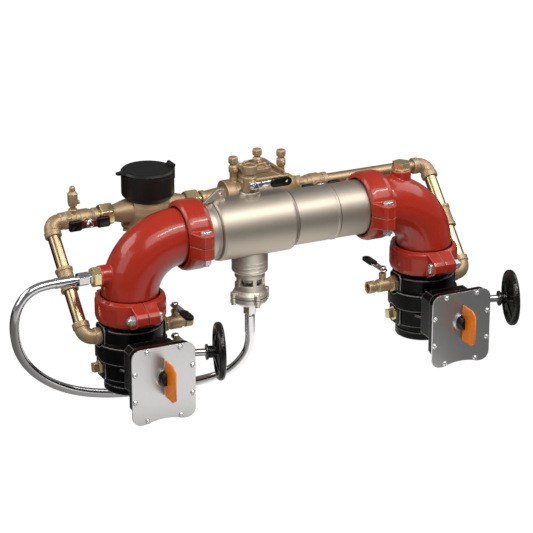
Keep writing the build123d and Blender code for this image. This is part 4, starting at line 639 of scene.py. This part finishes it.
def coupling(name, along, half):
    """Both halves of a coupling in their place."""
    halves = [half.copy(), half.copy()]
    for made, turn in zip(halves, (0, math.pi)):
        made.data = half.data.copy()
        bpy.context.scene.collection.objects.link(made)
        spin = Matrix.Rotation(turn, 4, "Z")
        if along == "X":
            spin = Matrix(((0, 0, 1, 0), (0, -1, 0, 0), (1, 0, 0, 0), (0, 0, 0, 1))) @ spin
        made.matrix_world = Matrix.Translation(middle_of(name)) @ spin
    both = joined(halves, f"{name}_casting")
    both.data.shade_smooth()
    return stand_in(both, name, RED, "red_paint")


half = coupling_half()
for name, along in COUPLINGS.items():
    print(name, len(coupling(name, along, half).data.polygons))
bpy.data.objects.remove(half)

# %% [markdown]
# ## Ribs of the black castings
# The valve bodies have square pads behind their side ports and gussets up to the neck that carries the gear
# housing. The housing is a flat case with cut corners and a ridge around its foot. They are drawn as prisms
# here and melt into the bodies.


# %% Cut corners
def octagon(half_w, half_h, cut):
    """Outline of a rectangle with cut corners."""
    return [(half_w, half_h - cut), (half_w - cut, half_h), (cut - half_w, half_h), (-half_w, half_h - cut),
            (-half_w, cut - half_h), (cut - half_w, -half_h), (half_w - cut, -half_h), (half_w, cut - half_h)]


# %% Valve pads and gussets
SIDE_PORT_Z = (0.053, 0.121)
PAD_HALF, PAD_CUT = 0.0235, 0.006
PAD_FROM, PAD_DEEP = 0.050, 0.0175
GUSSET_Z = (0.060, 0.104)
GUSSET_HALF = 0.0025
GUSSET_OUTLINE = ((0.060, -0.012), (0.0, -0.012), (0.0, -0.088), (0.031, -0.088))


def valve_extras(x0):
    """Square pads behind the four side ports, and gussets from the body to the neck."""
    pad = [(0, y, h) for y, h in octagon(PAD_HALF, PAD_HALF, PAD_CUT)]
    for side in (-1, 1):
        for z in SIDE_PORT_Z:
            yield prism(pad, (x0 + side * PAD_FROM, 0, z), (side * PAD_DEEP, 0, 0))
        for z in GUSSET_Z:
            yield hull([(x0 + side * x, y, z + h) for x, y in GUSSET_OUTLINE
                        for h in (-GUSSET_HALF, GUSSET_HALF)])


# %% Housing case
CASE_HALF_W, CASE_HALF_H, CASE_CUT = 0.0545, 0.0505, 0.0105
CASE_FRONT, CASE_DEEP, CASE_Z = -0.150, 0.058, 0.080
RIDGE_FRONT, RIDGE_DEEP, RIDGE_GROWTH = -0.158, 0.006, 1.04


def housing_extras(x0):
    """Flat chamfered case behind the cover, with a ridge around its foot."""
    outline = octagon(CASE_HALF_W, CASE_HALF_H, CASE_CUT)
    yield prism([(x, 0, h) for x, h in outline], (x0, CASE_FRONT, CASE_Z), (0, CASE_DEEP, 0))
    yield prism([(x * RIDGE_GROWTH, 0, h * RIDGE_GROWTH) for x, h in outline],
                (x0, RIDGE_FRONT, CASE_Z), (0, RIDGE_DEEP, 0))


# %% [markdown]
# ## Lips and ribs of the small castings
# The test cock on the spool has a fat cap and stands in a rolled lip. The small preventer behind has a gusset
# with a raised border on its cover and a rim along its body. Rings are turned, and the rest are prisms.

# %% Rings of the spool's port
PORT_X = 0.267
COCK_CAP_OUTLINE = [(0.0085, 0.418), (0.0150, 0.418), (0.0158, 0.4205), (0.0158, 0.4350), (0.0140, 0.4362),
                    (0.0085, 0.4362)]
PORT_LIP_OUTLINE = [(0.0150, 0.3680), (0.0205, 0.3660), (0.0222, 0.3700), (0.0226, 0.3755), (0.0210, 0.3800),
                    (0.0180, 0.3808), (0.0155, 0.3790)]


def ring_at(outline, x):
    """Ring turned about an upright axis through x."""
    made = turned(outline)
    made.location = (x, 0, 0)
    bpy.context.view_layer.update()
    return made


# %% Ribs of the small preventer
PREVENTER_MIDDLE = 0.370
BYPASS_Y = 0.180
GUSSET_SIDE = [(0.006, 0.374), (0.022, 0.372), (0.054, 0.349), (0.054, 0.340), (0.006, 0.340)]
BORDER_SIDE = [(0.018, 0.3755), (0.024, 0.3735), (0.056, 0.3500), (0.056, 0.3460), (0.020, 0.3700)]
RIM_SIDE = [(-0.050, 0.3400), (-0.050, 0.3445), (0.058, 0.3445), (0.058, 0.3400)]
RIB_HALF_WIDTHS = (0.012, 0.018, 0.0295)


def preventer_ribs():
    """Triangular gusset with a raised border at the outlet side of the cover, and a rim along the body."""
    for side, half in zip((GUSSET_SIDE, BORDER_SIDE, RIM_SIDE), RIB_HALF_WIDTHS):
        outline = [(PREVENTER_MIDDLE + x, 0, z) for x, z in side]
        yield prism(outline, (0, BYPASS_Y - half, 0), (0, 2 * half, 0))


# %% [markdown]
# ## Making the castings
# Each casting names its finish, its cell size and its rounds of smoothing. Large soft forms such as the elbows
# take larger cells, and small ones with fine ribs take smaller cells. The two union nuts of the bypass belong
# to the fittings' node but are bright brass, so their faces get a second finish.

# %% Table of castings
CASTINGS = [
    (RED, "red_paint", 0.0014, 5, ["inlet_elbow", "outlet_elbow"]),
    (BLACK, "black_paint", 0.0011, 3, [f"{v}_valve_body" for v in VALVES]
     + [f"{v}_gear_housing" for v in VALVES]),
    (WHEEL_BLACK, "black_paint", 0.0009, 3, [f"{v}_handwheel" for v in VALVES]),
    (CAST_STEEL, "stainless", 0.0007, 3, ["relief_collar", "relief_body", "relief_cover"]),
    (STAINLESS, "stainless", 0.0007, 2, ["spool_lug_and_port"]),
    (BRONZE, "bronze", 0.0009, 3, ["test_cock_bodies", "bypass_elbows", "bypass_fittings",
                                   "bypass_valve_bodies", "bypass_test_cocks", "meter_body",
                                   "preventer_body", "preventer_cover"]),
]
VALVE_XS = {"inlet": 0.0, "outlet": 0.676}
UNION_NUTS = ((0.0, 0.0365), (0.2005, 0.2365))
UNION_NUTS_ABOVE = 0.28
EXTRAS = {
    "spool_lug_and_port": [ring_at(PORT_LIP_OUTLINE, PORT_X)],
    "test_cock_bodies": [ring_at(COCK_CAP_OUTLINE, PORT_X)],
    "preventer_body": list(preventer_ribs()),
}
for valve, x0 in VALVE_XS.items():
    EXTRAS[f"{valve}_valve_body"] = list(valve_extras(x0))
    EXTRAS[f"{valve}_gear_housing"] = list(housing_extras(x0))
print("castings with extras", len(EXTRAS))

# %% Castings
for finish, slot, voxel, rounds, names in CASTINGS:
    for name in names:
        made = casting(name, finish, slot, voxel, rounds, extras=EXTRAS.get(name, ()))
        print(name, len(made.data.polygons))

fittings = bpy.data.objects["bypass_fittings_casting"].data
fittings.materials.append(BRASS)
for face in fittings.polygons:
    at = face.center
    face.material_index = int(at.z > UNION_NUTS_ABOVE and any(a < at.x < b for a, b in UNION_NUTS))
print("brass faces", sum(face.material_index for face in fittings.polygons))

# %% [markdown]
# ## Pieces of two colours
# A lever is a chrome strip with a black vinyl grip, a T handle is a dark red plate with two grips and a chrome
# nut, and an indicator is an orange fin on a black knob. Each is one moving piece, so it could be split in
# two, but it is simpler to give its faces a finish by their place.

# %% Two colour helper
CREASE = math.radians(35)


def two_tone(name, finishes, which):
    """Copy of a node whose faces take the finish that which(centre) numbers."""
    made = own_copy(name, f"{name}_dressed")
    for finish in finishes:
        made.data.materials.append(finish)
    for face in made.data.polygons:
        face.material_index = int(which(face.center))
    made.data.set_sharp_from_angle(angle=CREASE)
    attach(made, nodes[name]["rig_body"])
    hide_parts(name)
    return made


# %% Levers
GRIP_START = 0.0339
LEVERS = {
    "spool_cock_lever": (Vector((PORT_X, 0, 0.398)), Vector((1, 0, 0))),
    "inlet_upper_cock_lever": (Vector((0.098, 0, 0.121)), Vector((0, -1, 0))),
    "inlet_lower_cock_lever": (Vector((0.098, 0, 0.053)), Vector((0, -1, 0))),
    "outlet_cock_lever": (Vector((0.578, 0, 0.121)), Vector((0, 1, 0))),
}
for name, (hub, reach) in LEVERS.items():
    two_tone(name, (CHROME, GRIP), lambda at: (Vector(at) - hub).dot(reach) > GRIP_START)
print("levers", len(LEVERS))

# %% T handles
T_GRIP_START = 0.0169
T_NUT_R = 0.0077
T_NUT_Y = 0.1390
T_HANDLES = {"upstream_bypass_handle": -0.029, "downstream_bypass_handle": 0.501}
for name, stem_x in T_HANDLES.items():
    two_tone(name, (DARK_RED, GRIP, CHROME),
             lambda at: 2 if abs(at[0] - stem_x) < T_NUT_R and at[1] < T_NUT_Y
             else abs(at[0] - stem_x) > T_GRIP_START)
print("T handles", len(T_HANDLES))

# %% Position indicators
FIN_HALF = 0.0016
KNOB_FRONT = -0.19
for valve, stem_x in VALVE_XS.items():
    two_tone(f"{valve}_position_flag", (ORANGE, PLASTIC),
             lambda at: abs(at[0] - stem_x) > FIN_HALF and at[1] > KNOB_FRONT)
print("indicators", len(VALVE_XS))

# %% [markdown]
# ## Check springs
# Each check closes by a coil spring behind its disc, and the spring shortens as the disc opens. Both springs
# are one CAD node, so each gets a copy of its own half.

# %% Check springs
BETWEEN_CHECKS = 0.330
for joint, is_first in (("first_check_slide", True), ("second_check_slide", False)):
    coil = own_copy("check_springs", f"{joint}_spring")
    shape = bmesh.new()
    shape.from_mesh(coil.data)
    others = [v for v in shape.verts if (v.co.x < BETWEEN_CHECKS) != is_first]
    bmesh.ops.delete(shape, geom=others, context="VERTS")
    shape.to_mesh(coil.data)
    shape.free()
    coil.data.shade_smooth()
    stand_in(coil, "check_springs", STEEL, "steel")
    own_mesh(coil)

# %% [markdown]
# ## Sensing hose
# A stiff hose brings the supply pressure from the elbow's fitting round behind the valve to the relief valve.
# It is a fixed length that leaves both fittings straight and sags between them. Arcs and straight runs would
# look like bent wire, so it is one smooth curve over a few points. The order of a
# NURBS curve is set after its points are there: set before, it stays at 2, and the hose gets straight runs.

# %% Sensing hose
HOSE_ROUTE = [
    (-0.161, 0.0, 0.2485), (-0.189, 0.0, 0.2485), (-0.218, 0.0, 0.238), (-0.238, 0.001, 0.216),
    (-0.247, 0.005, 0.186), (-0.246, 0.012, 0.152), (-0.236, 0.023, 0.110), (-0.212, 0.038, 0.066),
    (-0.170, 0.054, 0.021), (-0.115, 0.070, -0.016), (-0.052, 0.083, -0.042), (0.016, 0.089, -0.057),
    (0.084, 0.086, -0.059), (0.146, 0.072, -0.053), (0.193, 0.050, -0.042), (0.228, 0.027, -0.024),
    (0.251, 0.011, 0.003), (0.267, 0.0, 0.038), (0.267, 0.0, 0.070),
]
HOSE_R = 0.0096

hose_curve = bpy.data.curves.new("sensing_hose_line", "CURVE")
hose_curve.dimensions = "3D"
hose_spline = hose_curve.splines.new("NURBS")
hose_spline.points.add(len(HOSE_ROUTE) - 1)
for point, place in zip(hose_spline.points, HOSE_ROUTE):
    point.co = (*place, 1)
hose_spline.order_u = 3
hose_spline.use_endpoint_u = True
hose_spline.resolution_u = 12
hose_curve.bevel_depth = HOSE_R
hose_curve.bevel_resolution = 8
print("hose points", len(HOSE_ROUTE))

hose = bpy.data.objects.new("sensing_hose_cord", hose_curve)
bpy.context.scene.collection.objects.link(hose)
hose_curve.materials.append(HOSE_CHROME)
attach(hose, nodes["sensing_hose"]["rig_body"])
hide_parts("sensing_hose")
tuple(HOSE_ROUTE[0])

# %% [markdown]
# ## Floor
# The studio has one pale floor. The camera sees it as pure white, as in the photograph, and that comes from
# its own colour for camera rays, not from more light on the object. Polished metal mirrors the floor, so what
# a mirror ray sees decides how the steel looks. A flat white would leave the plates and hose without form.

# %% Floor plane
FLOOR_Z = -0.082
FLOOR_HALF = 12.0

floor_mesh = bpy.data.meshes.new("studio_floor")
corners = [(-FLOOR_HALF, -FLOOR_HALF, FLOOR_Z), (FLOOR_HALF, -FLOOR_HALF, FLOOR_Z),
           (FLOOR_HALF, FLOOR_HALF, FLOOR_Z), (-FLOOR_HALF, FLOOR_HALF, FLOOR_Z)]
floor_mesh.from_pydata(corners, [], [(0, 1, 2, 3)])
floor = bpy.data.objects.new("studio_floor", floor_mesh)
bpy.context.scene.collection.objects.link(floor)
print("floor at", FLOOR_Z)

# %% [markdown]
# The mirrored floor is brightest in front of the object and falls off towards the camera. Behind the object it
# is dark, and it is dimmer at the left. At the right it goes down as if a dark card lay there, which gives the
# right plate its darker tone. A further shade lies under the inlet side of the object, as its own shadow would.
# Each of these is a share between 0 and 1, and the shares are multiplied.

# %% Brightness of the mirrored floor
FRONT_FROM_Y, FRONT_TO_Y = -2.2, -0.25
FLOOR_FAR, FLOOR_NEAR = 0.20, 1.10
BEHIND_FROM_Y, BEHIND_TO_Y = 0.10, 0.55
FLOOR_BEHIND = 0.12
LEFT_FROM, LEFT_TO, LEFT_SHADE = -0.30, 0.02, 0.40
CARD_FROM, CARD_TO, CARD_SHADE = 0.58, 0.74, 0.16
SHADOW_FROM_Y, SHADOW_TO_Y = -0.36, -0.28
SHADOW_FROM_X, SHADOW_TO_X = 0.14, 0.22
SHADOW = 0.32

floor_finish = bpy.data.materials.new("studio_floor")
floor_finish.use_nodes = True
floor_tree = floor_finish.node_tree
floor_tree.nodes.clear()
spot = add(floor_tree, "SeparateXYZ", {0: add(floor_tree, "TexCoord").outputs["Object"]})
front = mapped(floor_tree, spot.outputs["Y"], FRONT_FROM_Y, FRONT_TO_Y, FLOOR_FAR, FLOOR_NEAR)
behind = mapped(floor_tree, spot.outputs["Y"], BEHIND_FROM_Y, BEHIND_TO_Y, 1.0, FLOOR_BEHIND)
left = mapped(floor_tree, spot.outputs["X"], LEFT_FROM, LEFT_TO, LEFT_SHADE, 1.0)
side = mapped(floor_tree, spot.outputs["X"], CARD_FROM, CARD_TO, 1.0, CARD_SHADE)
under_y = mapped(floor_tree, spot.outputs["Y"], SHADOW_FROM_Y, SHADOW_TO_Y, 0.0, 1.0)
under_x = mapped(floor_tree, spot.outputs["X"], SHADOW_FROM_X, SHADOW_TO_X, 1.0, 0.0)
under = add(floor_tree, "Math", {0: under_y, 1: under_x}, operation="MULTIPLY").outputs[0]
glow = front
for share in (behind, left, side, mapped(floor_tree, under, 0.0, 1.0, 1.0, SHADOW)):
    glow = add(floor_tree, "Math", {0: glow, 1: share}, operation="MULTIPLY").outputs[0]
print("floor shares", FLOOR_NEAR, FLOOR_BEHIND, LEFT_SHADE, CARD_SHADE, SHADOW)

# %% Floor material
FLOOR_COLOUR = (0.50, 0.46, 0.41, 1)
MIRRORED_COLOUR = (1.0, 0.985, 0.96, 1)
WHITE = (1, 1, 1, 1)
BACKGROUND = 1.02

path = add(floor_tree, "LightPath")
lit = add(floor_tree, "BsdfDiffuse", {"Color": FLOOR_COLOUR})
mirrored = add(floor_tree, "Emission", {"Color": MIRRORED_COLOUR, "Strength": glow})
white = add(floor_tree, "Emission", {"Color": WHITE, "Strength": BACKGROUND})
bounced = add(floor_tree, "MixShader", {0: path.outputs["Is Glossy Ray"], 1: lit.outputs[0],
                                        2: mirrored.outputs[0]})
seen = add(floor_tree, "MixShader", {0: path.outputs["Is Camera Ray"], 1: bounced.outputs[0],
                                     2: white.outputs[0]})
add(floor_tree, "OutputMaterial", {"Surface": seen.outputs[0]})
floor_mesh.materials.append(floor_finish)
print("floor nodes", len(floor_tree.nodes))

# %% [markdown]
# ## Sky
# Around the floor is a dim grey sky, darker in a band above the level, which gives the chrome its dark
# streaks. The camera sees it as white too.

# %% Sky
SKY_BY_HEIGHT = ((0.0, 0.22), (0.5, 0.24), (0.60, 0.15), (0.68, 0.09), (0.80, 0.14), (1.0, 0.22))
SKY_BLUE = 1.03

world = bpy.data.worlds.new("studio")
bpy.context.scene.world = world
world.use_nodes = True
sky = world.node_tree
sky.nodes.clear()
upward = add(sky, "SeparateXYZ", {0: add(sky, "TexCoord").outputs["Generated"]}).outputs["Z"]
ramp = add(sky, "ValToRGB", {"Fac": mapped(sky, upward, -1.0, 1.0, 0.0, 1.0)})
stops = ramp.color_ramp.elements
for index, (position, value) in enumerate(SKY_BY_HEIGHT):
    stop = stops[index] if index < 2 else stops.new(position)
    stop.position = position
    stop.color = (value, value, value * SKY_BLUE, 1)
around = add(sky, "Background", {"Color": ramp.outputs["Color"], "Strength": 1.0})
plain = add(sky, "Background", {"Color": WHITE, "Strength": BACKGROUND})
sky_path = add(sky, "LightPath")
both = add(sky, "MixShader", {0: sky_path.outputs["Is Camera Ray"], 1: around.outputs[0],
                              2: plain.outputs[0]})
add(sky, "OutputWorld", {"Surface": both.outputs[0]})
print("sky stops", len(stops))

# %% [markdown]
# ## Lights
# A broad warm soft box hangs in front, above the camera, and gives the long highlight of the spool. A narrow
# strip beside it draws the thin glints on paint and chrome. Smaller boxes fill the left, the back and the
# right. Each has one radiance, so that a larger box doesn't burn out what it lights.

# %% Soft box helper
MIDDLE = Vector((0.33, 0.0, 0.2))


def softbox(name, azimuth, elevation, distance, width, height, radiance, colour=(1, 1, 1)):
    """Soft area light that looks at the object. Azimuth is in degrees from the front, to the right."""
    turn, rise = math.radians(azimuth), math.radians(elevation)
    way = Vector((math.sin(turn) * math.cos(rise), -math.cos(turn) * math.cos(rise), math.sin(rise)))
    lamp = bpy.data.lights.new(name, "AREA")
    lamp.shape = "RECTANGLE"
    lamp.size = width
    lamp.size_y = height
    lamp.energy = radiance * math.pi * width * height
    lamp.color = colour
    made = bpy.data.objects.new(name, lamp)
    made.location = MIDDLE + way * distance
    made.rotation_euler = (-way).to_track_quat("-Z", "Y").to_euler()
    made.visible_camera = False
    bpy.context.scene.collection.objects.link(made)
    return made


# %% Lights
softbox("key_front", azimuth=4, elevation=54, distance=2.4, width=3.0, height=1.3, radiance=2.9,
        colour=(1.0, 0.955, 0.90))
softbox("glint_strip", azimuth=16, elevation=57, distance=2.3, width=2.2, height=0.10, radiance=24.0,
        colour=(1.0, 0.98, 0.95))
softbox("left_rear", azimuth=-115, elevation=38, distance=2.4, width=1.3, height=0.9, radiance=4.0)
softbox("right_side", azimuth=92, elevation=38, distance=2.4, width=1.6, height=1.2, radiance=2.2)
softbox("left_front", azimuth=-82, elevation=24, distance=2.6, width=1.4, height=1.2, radiance=1.5)
